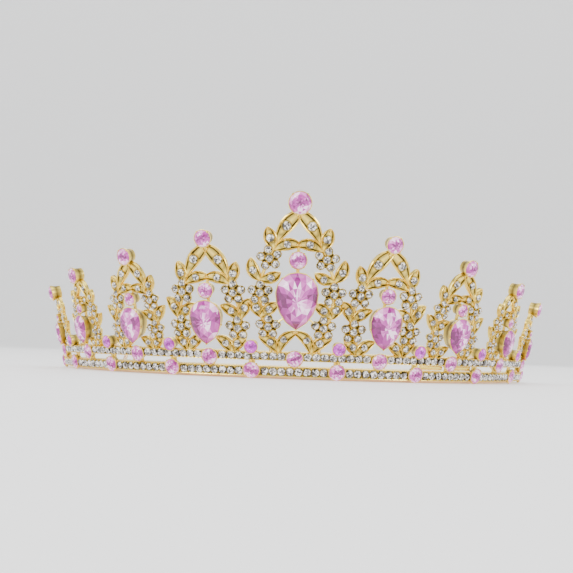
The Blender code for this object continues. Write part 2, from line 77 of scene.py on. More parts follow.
class Domain(Enum):
    """Where a mesh carries its named value: the recess of castings, which sets their painted shade,
    and the facet tone of stones, which sets their painted reflections and shade.
    """

    POINT = "recess"
    FACE = "facet"


class Signal:
    """A socket of a node tree, on which sums are written as Python expressions."""

    def __init__(self, graph: Graph, socket: bpy.types.NodeSocket) -> None:
        """Wrap a socket of a graph."""
        self.graph = graph
        self.socket = socket

    def _sum(self, operation: str, other: Any) -> Signal:
        """A Math node on this signal and a number or another signal."""
        sockets = {"Value": self, "Value_001": other}
        return self.graph.node("ShaderNodeMath", {"operation": operation}, sockets)

    def __add__(self, other: Any) -> Signal:
        """Signal plus another."""
        return self._sum("ADD", other)

    def __sub__(self, other: Any) -> Signal:
        """Signal less another."""
        return self._sum("SUBTRACT", other)

    def __mul__(self, other: Any) -> Signal:
        """Signal times another."""
        return self._sum("MULTIPLY", other)

    __radd__, __rmul__ = __add__, __mul__


class Graph:
    """The node tree of one material, filled by single calls."""

    NOISE_ROUGHNESS = 0.55

    def __init__(self, name: str) -> None:
        """Start an empty material.

        Args:
            name: Name of the material.
        """
        self.material = bpy.data.materials.new(name)
        self.material.use_nodes = True
        self.tree = self.material.node_tree
        self.tree.nodes.clear()

    @staticmethod
    def _find(sockets: Any, key: str | int) -> bpy.types.NodeSocket:
        """Find a socket.

        Args:
            sockets: Inputs or outputs of a node.
            key: The socket's index, identifier or name.

        Returns:
            The socket.
        """
        if isinstance(key, int):
            return sockets[key]
        return next(socket for socket in sockets if key in (socket.identifier, socket.name))

    @staticmethod
    def _set_stops(ramp: bpy.types.ColorRamp, stops: Stops) -> None:
        """Give a ramp its stops.

        Args:
            ramp: The ramp, which starts with two stops.
            stops: Positions and colours, from low to high.
        """
        while len(ramp.elements) < len(stops):
            ramp.elements.new(1.0)
        for element, (position, colour) in zip(ramp.elements, stops):
            element.position = position
            element.color = (*colour, 1.0)

    def node(self, kind: str, settings: Mapping[str, Any] | None = None,
             sockets: Mapping[str | int, Any] | None = None, output: str | int = 0) -> Signal:
        """Add any node.

        Args:
            kind: The node's type.
            settings: Its settings; "stops" are a ramp's positions and colours.
            sockets: Values or signals of its inputs, by identifier, name or index.
            output: The output that is wanted.

        Returns:
            That output as a signal.
        """
        made = self.tree.nodes.new(kind)
        for key, value in (settings or {}).items():
            if key == "stops":
                self._set_stops(made.color_ramp, value)
            else:
                setattr(made, key, value)
        for key, value in (sockets or {}).items():
            socket = self._find(made.inputs, key)
            if isinstance(value, Signal):
                self.tree.links.new(value.socket, socket)
            elif socket.type == "RGBA":
                socket.default_value = (*value, 1.0)
            else:
                socket.default_value = value
        return Signal(self, self._find(made.outputs, output))

    def blend(self, share: Any, low: Any, high: Any) -> Signal:
        """Mix two colours by a share from 0 to 1."""
        sockets = {"Factor_Float": share, "A_Color": low, "B_Color": high}
        return self.node("ShaderNodeMix", {"data_type": "RGBA"}, sockets, "Result_Color")

    def ramp(self, value: Signal, stops: Stops) -> Signal:
        """A colour read from stops by a value from 0 to 1."""
        return self.node("ShaderNodeValToRGB", {"stops": stops}, {"Fac": value}, "Color")

    def climb(self, value: Signal, limits: tuple[float, float]) -> Signal:
        """A share that climbs from 0 to 1 between two limits of a value."""
        return self.ramp(value, ((limits[0], (0.0,) * 3), (limits[1], (1.0,) * 3)))

    def noise(self, scale: float, detail: float = 3.0) -> Signal:
        """Noise in object space, with its grain in turns for each metre."""
        place = self.node("ShaderNodeTexCoord", output="Object")
        return self.node("ShaderNodeTexNoise", {}, {
            "Vector": place, "Scale": scale, "Detail": detail, "Roughness": self.NOISE_ROUGHNESS}, "Fac")

    def value(self, domain: Domain) -> Signal:
        """The named value that the mesh carries."""
        return self.node("ShaderNodeAttribute", {"attribute_name": domain.value}, output="Fac")

    def bump(self, height: Signal, strength: float, distance: float) -> Signal:
        """A normal from a height."""
        sockets = {"Height": height, "Strength": strength, "Distance": distance}
        return self.node("ShaderNodeBump", {}, sockets)

    def finish(self, sockets: Mapping[str | int, Any]) -> bpy.types.Material:
        """Close the tree with a Principled shader.

        Args:
            sockets: Values or signals of the shader's inputs.

        Returns:
            The material.
        """
        shader = self.node("ShaderNodeBsdfPrincipled", {}, sockets)
        output = self.tree.nodes.new("ShaderNodeOutputMaterial")
        self.tree.links.new(shader.socket, output.inputs["Surface"])
        return self.material


@dataclass(frozen=True)
class Gilding:
    """Cast metal under bright gilding, with painted shade darkening its recesses."""

    name: str
    bright: Colour
    deep: Colour
    # Colour of the painted shade that darkens the recesses.
    painted_shade: Colour
    gloss: float
    cloud: float = 260.0
    cloud_limits: tuple[float, float] = (0.30, 0.70)
    painted_shade_limits: tuple[float, float] = (0.15, 0.85)
    painted_shade_least: float = 0.75
    painted_shade_cloud: float = 0.5
    rough_cloud: float = 0.16
    rough_recess: float = 0.30
    grain: float = 2600.0
    grain_detail: float = 2.0
    grain_strength: float = 0.35
    grain_height: float = 0.03 * MM

    def material(self) -> bpy.types.Material:
        """Gilt metal.

        The painted shade's share climbs with recess x (0.75 + 0.5 x cloud), darkening the recesses where
        shade falls, and the gilding goes from bright to deep with the cloud. Roughness is gloss + 0.16 x
        cloud + 0.30 x recess.

        Returns:
            The material.
        """
        graph = Graph(self.name)
        cloud = graph.noise(self.cloud)
        grain = graph.noise(self.grain, self.grain_detail)
        recess = graph.value(Domain.POINT)
        # Painted shade: the recess value, varied by the cloud, blends the metal towards the dark colour.
        painted_shade_share = graph.climb(recess * (self.painted_shade_least + self.painted_shade_cloud * cloud), self.painted_shade_limits)
        metal = graph.blend(graph.climb(cloud, self.cloud_limits), self.bright, self.deep)
        return graph.finish({
            "Base Color": graph.blend(painted_shade_share, metal, self.painted_shade),
            "Metallic": 1.0,
            "Roughness": self.gloss + self.rough_cloud * cloud + self.rough_recess * recess,
            "Normal": graph.bump(grain, self.grain_strength, self.grain_height),
        })


@dataclass(frozen=True)
class FoiledStone:
    """A cut glass stone over foil: each facet is painted with its own share of the stone's colours, as
    painted reflections and painted shade.
    """

    name: str
    stops: Stops
    # Strength of the painted glow that stands in for the light the foil throws back.
    glow: float
    coat: float
    cloud: float = 900.0
    cloud_detail: float = 2.0
    tone_cloud: float = 0.14
    rough: float = 0.05
    rough_cloud: float = 0.08
    refraction: float = 1.60
    coat_rough: float = 0.02

    def material(self) -> bpy.types.Material:
        """Glass over foil.

        The colour is read from the stops by facet tone + 0.14 x (cloud - 0.5); the facet tones are
        painted reflections and painted shade. The colour also glows, a painted glow that stands in for
        the light that the foil throws back. Roughness is 0.05 + 0.08 x cloud.

        Returns:
            The material.
        """
        graph = Graph(self.name)
        cloud = graph.noise(self.cloud, self.cloud_detail)
        tone = graph.value(Domain.FACE) + self.tone_cloud * (cloud - 0.5)
        colour = graph.ramp(tone, self.stops)
        return graph.finish({
            "Base Color": colour,
            "Roughness": self.rough + self.rough_cloud * cloud,
            "IOR": self.refraction,
            "Coat Weight": self.coat,
            "Coat Roughness": self.coat_rough,
            # Painted glow: the stone gives off its own colour.
            "Emission Color": colour,
            "Emission Strength": self.glow,
        })


@dataclass(frozen=True)
class Paper:
    """The pale surface that the crown stands on."""

    name: str
    colour: Colour
    glow: float
    tooth: float = 700.0
    shade: float = 0.985
    rough: float = 0.75
    rough_tooth: float = 0.1
    shine: float = 0.2

    def material(self) -> bpy.types.Material:
        """Matt paper, whose faint tooth darkens it to 98.5 % and adds 0.1 x tooth to its roughness.

        Returns:
            The material.
        """
        graph = Graph(self.name)
        tooth = graph.noise(self.tooth)
        colour = graph.blend(tooth, self.colour, tuple(self.shade * part for part in self.colour))
        return graph.finish({
            "Base Color": colour,
            "Roughness": self.rough + self.rough_tooth * tooth,
            "Specular IOR Level": self.shine,
            "Emission Color": colour,
            "Emission Strength": self.glow,
        })


# The third colour of each gilding is the painted shade in its recesses.
GILT = Gilding("gilt", bright=(0.97, 0.76, 0.19), deep=(0.82, 0.57, 0.10),
               painted_shade=(0.055, 0.038, 0.017), gloss=0.18)
ROSE_GILT = Gilding("rose_gilt", bright=(0.97, 0.70, 0.46), deep=(0.88, 0.57, 0.33),
                    painted_shade=(0.45, 0.28, 0.16), gloss=0.16)
# Each stone's stops run from painted shade to painted highlight across its facets; glow is painted
# light.
CLEAR = FoiledStone("clear_glass", glow=0.20, coat=0.50, stops=(
    (0.00, (0.012, 0.010, 0.008)), (0.30, (0.06, 0.052, 0.044)),
    (0.62, (0.34, 0.31, 0.28)), (0.90, (0.97, 0.95, 0.92))))
PINK = FoiledStone("pink_glass", glow=0.30, coat=0.20, stops=(
    (0.00, (0.12, 0.003, 0.075)), (0.25, (0.25, 0.010, 0.18)), (0.50, (0.43, 0.045, 0.32)),
    (0.74, (0.66, 0.16, 0.50)), (0.98, (1.00, 0.70, 0.91))))
VIOLET = FoiledStone("violet_glass", glow=0.20, coat=0.20, stops=(
    (0.00, (0.13, 0.002, 0.13)), (0.35, (0.32, 0.006, 0.33)),
    (0.72, (0.57, 0.025, 0.59)), (1.00, (0.84, 0.26, 0.84))))
GROUND = Paper("pale_paper", colour=(0.95, 0.95, 0.95), glow=0.40)


@dataclass(frozen=True)
class Cone:
    """The flared surface that the castings follow."""

    axis_y: float
    rim_radius: float = 71.0 * MM
    flare: float = math.radians(14.0)

    def place(self, turn: Any, across: Any, rise: Any, depth: Any) -> Array:
        """World places of points on the cone.

        The radius is rim radius + rise sin(flare) + depth cos(flare), at the angle turn + across over
        the surface's radius. The height is rise cos(flare) - depth sin(flare).

        Args:
            turn: Angle round the head, from the front towards +X.
            across: Distance round the cone at the point's own rise.
            rise: Distance up the slope.
            depth: Distance out of the surface.

        Returns:
            Points, with x, y and z along the last axis.
        """
        turn, across, rise, depth = np.broadcast_arrays(turn, across, rise, depth)
        surface = self.rim_radius + rise * math.sin(self.flare)
        angle = turn + across / surface
        reach = surface + depth * math.cos(self.flare)
        height = rise * math.cos(self.flare) - depth * math.sin(self.flare)
        return np.stack([reach * np.sin(angle), self.axis_y - reach * np.cos(angle), height], axis=-1)

    def seats(self, turn: Any, across: Any, rise: Any, depth: Any, size: Any = 1.0, spin: Any = 0.0,
              lean: Any = 0.0) -> Seats:
        """Flat seats on the cone.

        Args:
            turn, across, rise, depth: Place of each seat, as in place.
            size: Scale of what sits there.
            spin: Turn of the seat about its outward axis.
            lean: Tilt of the outward axis towards the spun across axis.

        Returns:
            The seats.
        """
        values = np.broadcast_arrays(turn, across, rise, depth, size, spin, lean)
        values = [np.atleast_1d(value).astype(float) for value in values]
        turn, across, rise, depth, size, spin, lean = values
        angle = turn + across / (self.rim_radius + rise * math.sin(self.flare))
        sine, cosine, none = np.sin(angle), np.cos(angle), np.zeros_like(angle)
        right = np.stack([cosine, sine, none], axis=-1)
        out = np.stack([math.cos(self.flare) * sine, -math.cos(self.flare) * cosine,
                        np.full_like(angle, -math.sin(self.flare))], axis=-1)
        up = np.cross(out, right)
        spun = right * np.cos(spin)[:, None] + up * np.sin(spin)[:, None]
        leant = out * np.cos(lean)[:, None] + spun * np.sin(lean)[:, None]
        first = spun * np.cos(lean)[:, None] - out * np.sin(lean)[:, None]
        axes = np.stack([first, np.cross(leant, first), leant], axis=1)
        return Seats(self.place(turn, across, rise, depth), axes, size)


@dataclass(frozen=True)
class Seats:
    """Flat seats in space: origins, axes (across, up and out as rows) and sizes."""

    origins: Array
    axes: Array
    sizes: Array

    def carry(self, shape: Array) -> Array:
        """Copies of a shape: origin + size (x across + y up + z out), as seats by points by 3."""
        turned = np.einsum("mk,nkj->nmj", shape, self.axes)
        return self.origins[:, None, :] + self.sizes[:, None, None] * turned


class Shape(NamedTuple):
    """A closed shape in its seat's own axes: points, blocks of faces, and values of points or faces."""

    points: Array
    faces: tuple[Array, ...]
    values: Array


class Row(NamedTuple):
    """A ring of a lofted shape: share of the outline, depth, and recess, which sets the painted
    shade of the gilding there.
    """

    reach: float
    depth: float
    recess: float


class Lobe(NamedTuple):
    """A patch of painted highlight or painted shade on a stone, by the sign of its change: place as
    shares of the half width and the half length, reach as a share of the half width, and change of tone."""

    across: float
    up: float
    reach: float
    change: float


class Cut(NamedTuple):
    """A ring of a cut stone: share of the outline, share of the size as depth, half a step of turn or
    not, and the mean tone and spread of the facets above it, tones that paint the stone's reflections
    and shade."""

    reach: float
    depth: float
    turned: bool
    tone: float
    spread: float


def grid_faces(rows: int, columns: int) -> Array:
    """Quads of a grid whose point (row, column) is number row x columns + column.

    Args:
        rows: Number of rows.
        columns: Number of columns, the last of which meets the first.

    Returns:
        Corners of the quads.
    """
    row, column = np.meshgrid(np.arange(rows - 1), np.arange(columns), indexing="ij")
    after = (column + 1) % columns
    corners = [row * columns + column, row * columns + after,
               (row + 1) * columns + after, (row + 1) * columns + column]
    return np.stack(corners, axis=-1).reshape(-1, 4)


def tube_faces(rows: int, columns: int) -> tuple[Array, ...]:
    """Faces of a closed tube: the quads between its rings, then the first and the last ring."""
    ring = np.arange(columns)[None]
    return grid_faces(rows, columns), ring[:, ::-1], ring + (rows - 1) * columns


def ring_outline(count: int, radius: float = 1.0) -> Callable[[float], Array]:
    """Outline of a circle.

    Args:
        count: Number of points.
        radius: Radius of the circle.

    Returns:
        A function that gives the outline, also half a step on.
    """
    def outline(step: float) -> Array:
        """Points at equal turns, the first one below the middle."""
        angle = (np.arange(count) + step) * FULL_TURN / count - math.pi / 2
        return radius * np.stack([np.cos(angle), np.sin(angle)], axis=-1)
    return outline


def pear_outline(count: int, length: float, width: float) -> Callable[[float], Array]:
    """Outline of a pear with its point below.

    The upper part is half a circle of the width. Below it the half width is the circle's radius times
    the sine of the turn to the power 0.7, and the height rises by 1 - the square root of 1 - sine.

    Args:
        count: Number of points.
        length: Length of the pear.
        width: Width of the pear.

    Returns:
        A function that gives the outline, also half a step on.
    """
    radius = width / 2
    shoulder = length / 2 - radius

    def outline(step: float) -> Array:
        """Points at equal turns, the first one at the pear's point.

        Args:
            step: Share of a step by which the points are turned on.

        Returns:
            Across and up of the points.
        """
        turn = (np.arange(count) + step) * FULL_TURN / count
        sine = np.sin(turn)
        share = np.abs(sine)
        is_round = np.cos(turn) <= 0
        across = np.where(is_round, radius * sine, np.sign(sine) * radius * share ** PEAR_POWER)
        drawn = (shoulder + length / 2) * (1 - np.sqrt(1 - np.minimum(share, 1.0)))
        up = np.where(is_round, shoulder - radius * np.cos(turn), drawn - length / 2)
        return np.stack([across, up], axis=-1)
    return outline


def lofted(outline: Array, rows: Sequence[Row]) -> Shape:
    """A closed shape whose rings are the outline times each row's reach, at the row's depth.

    Args:
        outline: The outline.
        rows: The rings, from the back to the front.

    Returns:
        The shape, with each row's recess on its ring.
    """
    count = len(outline)
    table = np.array(rows)
    flat = table[:, 0, None, None] * outline[None]
    depth = np.broadcast_to(table[:, 1, None, None], (*flat.shape[:2], 1))
    points = np.concatenate([flat, depth], axis=-1).reshape(-1, 3)
    return Shape(points, tube_faces(len(rows), count), np.repeat(table[:, 2], count))


def cut_stone(outline: Callable[[float], Array], size: float, rings: Sequence[Cut],
              rng: np.random.Generator, lobes: Sequence[Lobe] = (), turn: float = 0.0) -> Shape:
    """A cut stone: rings of facets from its back to the middle of its table.

    Neighbouring rings are half a step apart, so that two triangles fill each step between them. The
    tone of a facet is its ring's mean + spread x random + for each lobe its change x exp(-(d / reach)
    squared), d being the distance of the facet's middle from the lobe's. These tones paint the stone's
    reflections and shade.

    Args:
        outline: Outline of the girdle.
        size: Size by which depths are scaled.
        rings: The rings from the back to the front.
        rng: Source of the tones' scatter.
        lobes: Patches of painted highlight and painted shade, lighter or darker than the rest.
        turn: Turn of the lobes about the stone's middle.

    Returns:
        The stone with a tone on each face.
    """
    count = len(outline(0.0))
    layers = [np.column_stack([outline(0.5 * ring.turned) * ring.reach,
                               np.full(count, ring.depth * size)]) for ring in rings]
    points = np.concatenate([*layers, [[0.0, 0.0, rings[-1].depth * size]]])
    here = np.arange(count)
    after = (here + 1) % count
    triangles, tones = [], []
    for level, ring in enumerate(rings[:-1]):
        low, high = level * count, (level + 1) * count
        if ring.turned:
            pair = [(low + here, high + after, high + here), (low + here, low + after, high + after)]
        else:
            pair = [(low + here, low + after, high + here), (low + after, high + after, high + here)]
        for corners in pair:
            triangles.append(np.stack(corners, axis=-1))
            tones.append(ring.tone + ring.spread * rng.uniform(-1, 1, count))
    last = (len(rings) - 1) * count
    triangles.append(np.stack([last + here, last + after, np.full(count, len(points) - 1)], axis=-1))
    tones.append(rings[-1].tone + rings[-1].spread * rng.uniform(-1, 1, count))
    faces = np.concatenate(triangles)
    values = np.concatenate(tones)
    middle = points[faces].mean(axis=1)[:, :2] / np.abs(points[:, :2]).max(axis=0)
    # Lobes add painted highlights and painted shade to the facet tones.
    for lobe in lobes:
        place = np.array([lobe.across * math.cos(turn) - lobe.up * math.sin(turn),
                          lobe.across * math.sin(turn) + lobe.up * math.cos(turn)])
        values = values + lobe.change * np.exp(-((middle - place) ** 2).sum(axis=1) / lobe.reach ** 2)
    back = here[::-1][None]
    return Shape(points, (faces, back), np.clip(np.append(values, BACK_TONE), 0.0, 1.0))


class Casting:
    """Shapes gathered into one mesh, with one named value on its points or faces."""

    def __init__(self, domain: Domain) -> None:
        """Start empty.

        Args:
            domain: Whether the values lie on points or on faces.
        """
        self.domain = domain
        self.points: list[Array] = []
        self.faces: list[Array] = []
        self.values: list[Array] = []
        self.count = 0

    def add(self, points: Array, faces: Sequence[Array], values: Array, mirrored: bool = False) -> None:
        """Add one shape.

        Args:
            points: Its points.
            faces: Its faces, in blocks of equal numbers of corners.
            values: Values of its points or faces.
            mirrored: Whether its faces are to be turned round.
        """
        for block in faces:
            self.faces.append((block[:, ::-1] if mirrored else block) + self.count)
        self.points.append(points.reshape(-1, 3))
        self.values.append(values.ravel())
        self.count += self.points[-1].shape[0]

    def add_copies(self, seats: Seats, shape: Shape, scatter: Array | None = None) -> None:
        """Add a shape on every seat.

        Args:
            seats: The seats.
            shape: The shape.
            scatter: Change of value for each seat and face, if any.
        """
        points = seats.carry(shape.points)
        number, size = points.shape[:2]
        offsets = (np.arange(number) * size)[:, None, None]
        blocks = [(block[None] + offsets).reshape(-1, block.shape[1]) for block in shape.faces]
        values = np.tile(shape.values, (number, 1))
        if scatter is not None:
            values = np.clip(values + scatter, 0.0, 1.0)
        if self.domain is Domain.FACE:
            splits = np.cumsum([len(block) for block in shape.faces])[:-1]
            values = np.concatenate([part.ravel() for part in np.split(values, splits, axis=1)])
        self.add(points, blocks, values)

    def piece(self, name: str, material: bpy.types.Material, sharp: float | None) -> bpy.types.Object:
        """The gathered mesh as an object.

        Args:
            name: Name of the piece.
            material: Its material.
            sharp: Angle above which edges stay sharp, or None for flat facets.

        Returns:
            The object, linked to the scene.
        """
        mesh = bpy.data.meshes.new(name)
        points = np.concatenate(self.points)
        sizes = np.concatenate([np.full(len(block), block.shape[1]) for block in self.faces])
        loops = np.concatenate([block.ravel() for block in self.faces])
        mesh.vertices.add(len(points))
        mesh.vertices.foreach_set("co", points.astype(np.float32).ravel())
        mesh.loops.add(len(loops))
        mesh.loops.foreach_set("vertex_index", loops.astype(np.int32))
        mesh.polygons.add(len(sizes))
        mesh.polygons.foreach_set("loop_start", (np.cumsum(sizes) - sizes).astype(np.int32))
        mesh.update(calc_edges=True)
        layer = mesh.attributes.new(self.domain.value, "FLOAT", self.domain.name)
        layer.data.foreach_set("value", np.concatenate(self.values).astype(np.float32))
        mesh.materials.append(material)
        if sharp is not None:
            mesh.shade_smooth()
            mesh.set_sharp_from_angle(angle=sharp)
        mesh.validate()
        made = bpy.data.objects.new(name, mesh)
        bpy.context.scene.collection.objects.link(made)
        return made


class Leaf(NamedTuple):
    """A leaf: tip, base and width, as shares of its medallion's height, its bow to the right of the way
    from base to tip, as a share of its length, and the share of its length at which it is widest."""

    tip_across: float
    tip_up: float
    base_across: float
    base_up: float
    width: float
    bow: float
    widest: float = 0.5


class Flower(NamedTuple):
    """A flower: middle, turn of its first petal in degrees, and reach of its petals' stones."""

    across: float
    up: float
    turn: float
    reach: float


class Stone(NamedTuple):
    """A main stone: height of its middle, length and width, as shares of its medallion's height."""

    up: float
    length: float
    width: float


class Layout(NamedTuple):
    """Right half of a medallion, in shares of its height: up from the band stone, across from the
    middle. A prong may be missing."""

    leaves: tuple[Leaf, ...]
    flowers: tuple[Flower, ...]
    stem: tuple[tuple[float, float], ...]
    spine: tuple[float, float]
    neck: tuple[float, float]
    prong: tuple[tuple[float, float], ...]
    pear: Stone
    small: Stone


CENTRE_LAYOUT = Layout(
    leaves=(
        Leaf(-0.018, 0.945, 0.144, 0.728, 0.100, 0.08, 0.58),
        Leaf(0.198, 0.842, 0.148, 0.700, 0.090, 0.03),
        Leaf(-0.018, 0.727, 0.150, 0.695, 0.082, 0.13),
        Leaf(0.298, 0.643, 0.229, 0.498, 0.084, 0.12),
        Leaf(0.105, 0.552, 0.233, 0.505, 0.080, -0.10),
        Leaf(0.108, 0.354, 0.226, 0.262, 0.080, 0.05),
        Leaf(0.310, 0.362, 0.217, 0.257, 0.082, -0.12),
        Leaf(0.233, 0.136, 0.100, 0.034, 0.082, -0.12),
        Leaf(-0.014, 0.172, 0.105, 0.024, 0.075, 0.18),
    ),
    flowers=(
        Flower(0.179, 0.643, 81.0, 0.0555),
        Flower(0.231, 0.419, 90.0, 0.0555),
        Flower(0.174, 0.200, 90.0, 0.0555),
    ),
    stem=((0.150, 0.020), (0.174, 0.200), (0.221, 0.267), (0.231, 0.419), (0.229, 0.505), (0.179, 0.643),
          (0.148, 0.724)),
    spine=(0.530, 0.735),
    neck=(0.895, 0.985),
    prong=((0.135, 0.205), (0.112, 0.232), (0.080, 0.256)),
    pear=Stone(0.384, 0.364, 0.267),
    small=Stone(0.638, 0.110, 0.110),
)
SIDE_LAYOUT = Layout(
    leaves=(
        Leaf(-0.022, 0.942, 0.191, 0.662, 0.128, 0.08, 0.58),
        Leaf(0.255, 0.804, 0.187, 0.610, 0.112, 0.04),
        Leaf(-0.022, 0.667, 0.196, 0.614, 0.104, 0.13),
        Leaf(0.380, 0.495, 0.274, 0.315, 0.105, -0.09),
        Leaf(0.106, 0.435, 0.280, 0.321, 0.101, 0.06),
        Leaf(0.055, 0.165, 0.202, 0.031, 0.101, 0.10),
        Leaf(0.318, 0.156, 0.193, 0.031, 0.103, -0.13),
    ),
    flowers=(
        Flower(0.224, 0.545, 90.0, 0.0726),
        Flower(0.249, 0.243, 90.0, 0.0726),
    ),
    stem=((0.199, 0.030), (0.249, 0.243), (0.277, 0.330), (0.224, 0.545), (0.190, 0.648)),
    spine=(0.440, 0.680),
    neck=(0.875, 0.980),
    prong=(),
    pear=Stone(0.3005, 0.371, 0.280),
    small=Stone(0.564, 0.131, 0.131),
)


@dataclass(frozen=True)
class Plan:
    """Driving sizes shared by the bands, the medallions and their stones."""

    pitch: float = math.radians(18.0)
    half_turn: float = math.radians(90.0)
    lower_foot: float = 1.0 * MM
    lower_width: float = 2.8 * MM
    slot: float = 1.6 * MM
    upper_width: float = 2.4 * MM
    band_depth: float = 1.5 * MM
    lip: float = 0.4 * MM
    merge_start: float = math.radians(75.5)
    merge_end: float = math.radians(83.0)
    band_stone: float = 4.4 * MM
    violet_stone: float = 3.6 * MM
    violet_rise: float = 3.1 * MM
    lower_stone_share: float = 0.63
    upper_stone_share: float = 0.32
    seat_depth: float = 1.7 * MM
    pavilion: float = 0.20
    side_count: int = 4

    @property
    def lower_top(self) -> float:
        """Top of the lower band."""
        return self.lower_foot + self.lower_width

    @property
    def upper_foot(self) -> float:
        """Foot of the upper band."""
        return self.lower_top + self.slot

    @property
    def upper_top(self) -> float:
        """Top of the upper band."""
        return self.upper_foot + self.upper_width

    @property
    def lower_stone_rise(self) -> float:
        """Rise of the pink stones of the lower band."""
        return self.lower_foot + self.lower_stone_share * self.lower_width

    @property
    def upper_stone_rise(self) -> float:
        """Rise of the pink stones of the upper band, from which the medallions are measured."""
        return self.upper_foot + self.upper_stone_share * self.upper_width

    @property
    def stone_steps(self) -> Array:
        """Steps of pitch at which pink stones sit: half ones on the lower band, whole ones above."""
        return np.arange(-2 * self.side_count - 1, 2 * self.side_count + 2) / 2

    def drop(self, turn: Array) -> Array:
        """How far the upper band has come down: 3 s squared - 2 s cubed between two turns."""
        share = np.clip((np.abs(turn) - self.merge_start) / (self.merge_end - self.merge_start), 0, 1)
        return share ** 2 * (3 - 2 * share) * (self.upper_foot - self.lower_foot - self.lip)


class Spot(NamedTuple):
    """One medallion: turn, height, layout, size of its top stone, and the ending of its nodes' names."""

    turn: float
    height: float
    layout: Layout
    top: float
    ending: str


@dataclass
class Setter:
    """Sets stones: the one place where clear stones, cups and claws are gathered."""

    cone: Cone
    gilt: Casting
    clear: Casting
    rng: np.random.Generator

    CLEAR_SIDES = 8
    CLEAR_SIZE = 2.0
    CUP_SIDES = 10
    CLAW_SIDES = 6
    CLAWS_ROUND = 4
    # Painted reflections on the clear stones: scattered lighter and darker facets, ring tones, a painted
    # highlight at the upper left and painted shade near the middle.
    TONE_RISE = 0.32
    TONE_FALL = 1.10
    CLEAR_RINGS = (
        Cut(1.00, 0.00, True, 0.60, 0.25),
        Cut(0.70, 0.19, False, 0.52, 0.40),
        Cut(0.30, 0.235, True, 0.42, 0.40),
    )
    CLEAR_LOBES = (Lobe(-0.50, 0.50, 0.50, 0.30), Lobe(0.30, -0.15, 0.36, -0.45))
    # The recess in the third column paints shade at the back and inside the lip of a cup, and at the
    # foot of each claw.
    CUP_ROWS = (
        Row(0.72, -0.95, 0.4),
        Row(0.98, -0.90, 0.3),
        Row(1.06, -0.25, 0.0),
        Row(1.09, -0.04, 0.0),
        Row(1.05, 0.05, 0.0),
        Row(0.99, -0.02, 0.6),
    )
    CLAW_ROWS = (
        Row(1.0, -0.6, 0.3),
        Row(0.9, 0.3, 0.0),
        Row(0.5, 0.85, 0.0),
    )

    def clear_stones(self, seats: Seats) -> None:
        """Small clear stones, the tone of each face changed by 0.32 - 1.10 x random squared, which
        scatters painted reflections, lighter and darker, over the facets.

        The stone that is copied has a radius of 1.

        Args:
            seats: The seats, whose size is the stone's radius.
        """
        outline = ring_outline(self.CLEAR_SIDES)
        shape = cut_stone(outline, self.CLEAR_SIZE, self.CLEAR_RINGS, self.rng, self.CLEAR_LOBES)
        draws = self.rng.uniform(0, 1, (len(seats.sizes), len(shape.values)))
        self.clear.add_copies(seats, shape, self.TONE_RISE - self.TONE_FALL * draws ** 2)

    def cups(self, seats: Seats) -> None:
        """Turned cups round small stones; a seat's size is the stone's radius."""
        self.gilt.add_copies(seats, lofted(ring_outline(self.CUP_SIDES)(0.0), self.CUP_ROWS))

    def claws(self, seats: Seats) -> None:
        """Small round claws or grains; a seat's size is the claw's radius."""
        self.gilt.add_copies(seats, lofted(ring_outline(self.CLAW_SIDES)(0.0), self.CLAW_ROWS))

    def claws_round(self, turn: float, across: Array, rise: Array, depth: float, ring: float,
                    claw: float, phase: float) -> None:
        """Four claws in a ring round each of many stones.

        Args:
            turn: Turn of the medallion.
            across, rise, depth: Middles of the stones.
            ring: Radius of the ring.
            claw: Radius of a claw.
            phase: Turn of the first claw.
        """
        angle = phase + np.arange(self.CLAWS_ROUND) * FULL_TURN / self.CLAWS_ROUND
        sideways = across[:, None] + ring * np.cos(angle)
        upwards = rise[:, None] + ring * np.sin(angle)
        self.claws(self.cone.seats(turn, sideways.ravel(), upwards.ravel(), depth, claw))


def smooth_route(points: Array, steps: int) -> Array:
    """A smooth route through points: Catmull-Rom cubics, the ends continued straight on.

    Args:
        points: Points of the route, two values each.
        steps: Steps between neighbouring points.

    Returns:
        Points of the route.
    """
    padded = np.vstack([2 * points[0] - points[1], points, 2 * points[-1] - points[-2]])
    share = np.linspace(0, 1, steps, endpoint=False)[None, :, None]
    first, second, third, fourth = (padded[at:len(padded) - 3 + at, None, :] for at in range(4))
    curve = 0.5 * (2 * second + (third - first) * share
                   + (2 * first - 5 * second + 4 * third - fourth) * share ** 2
                   + (3 * second - first - 3 * third + fourth) * share ** 3)
    return np.vstack([curve.reshape(-1, points.shape[1]), points[-1]])


def round_section(radius: float, depth: float, sides: int) -> Array:
    """A round bar's section as side and depth, clockwise."""
    angle = np.arange(sides) * FULL_TURN / sides
    return np.stack([radius * np.sin(angle), depth + radius * np.cos(angle)], axis=-1)


def flat_section(width: float, back: float, front: float, ease: float) -> Array:
    """A flat bar's section with eased corners.

    Args:
        width: Width of the bar.
        back, front: Depths of its back and front.
        ease: Size of the eased corners.

    Returns:
        Side and depth of its corners, clockwise.
    """
    half = width / 2
    return np.array([
        (-half + ease, front), (half - ease, front), (half, front - ease), (half, back + ease),
        (half - ease, back), (-half + ease, back), (-half, back + ease), (-half, front - ease),
    ])


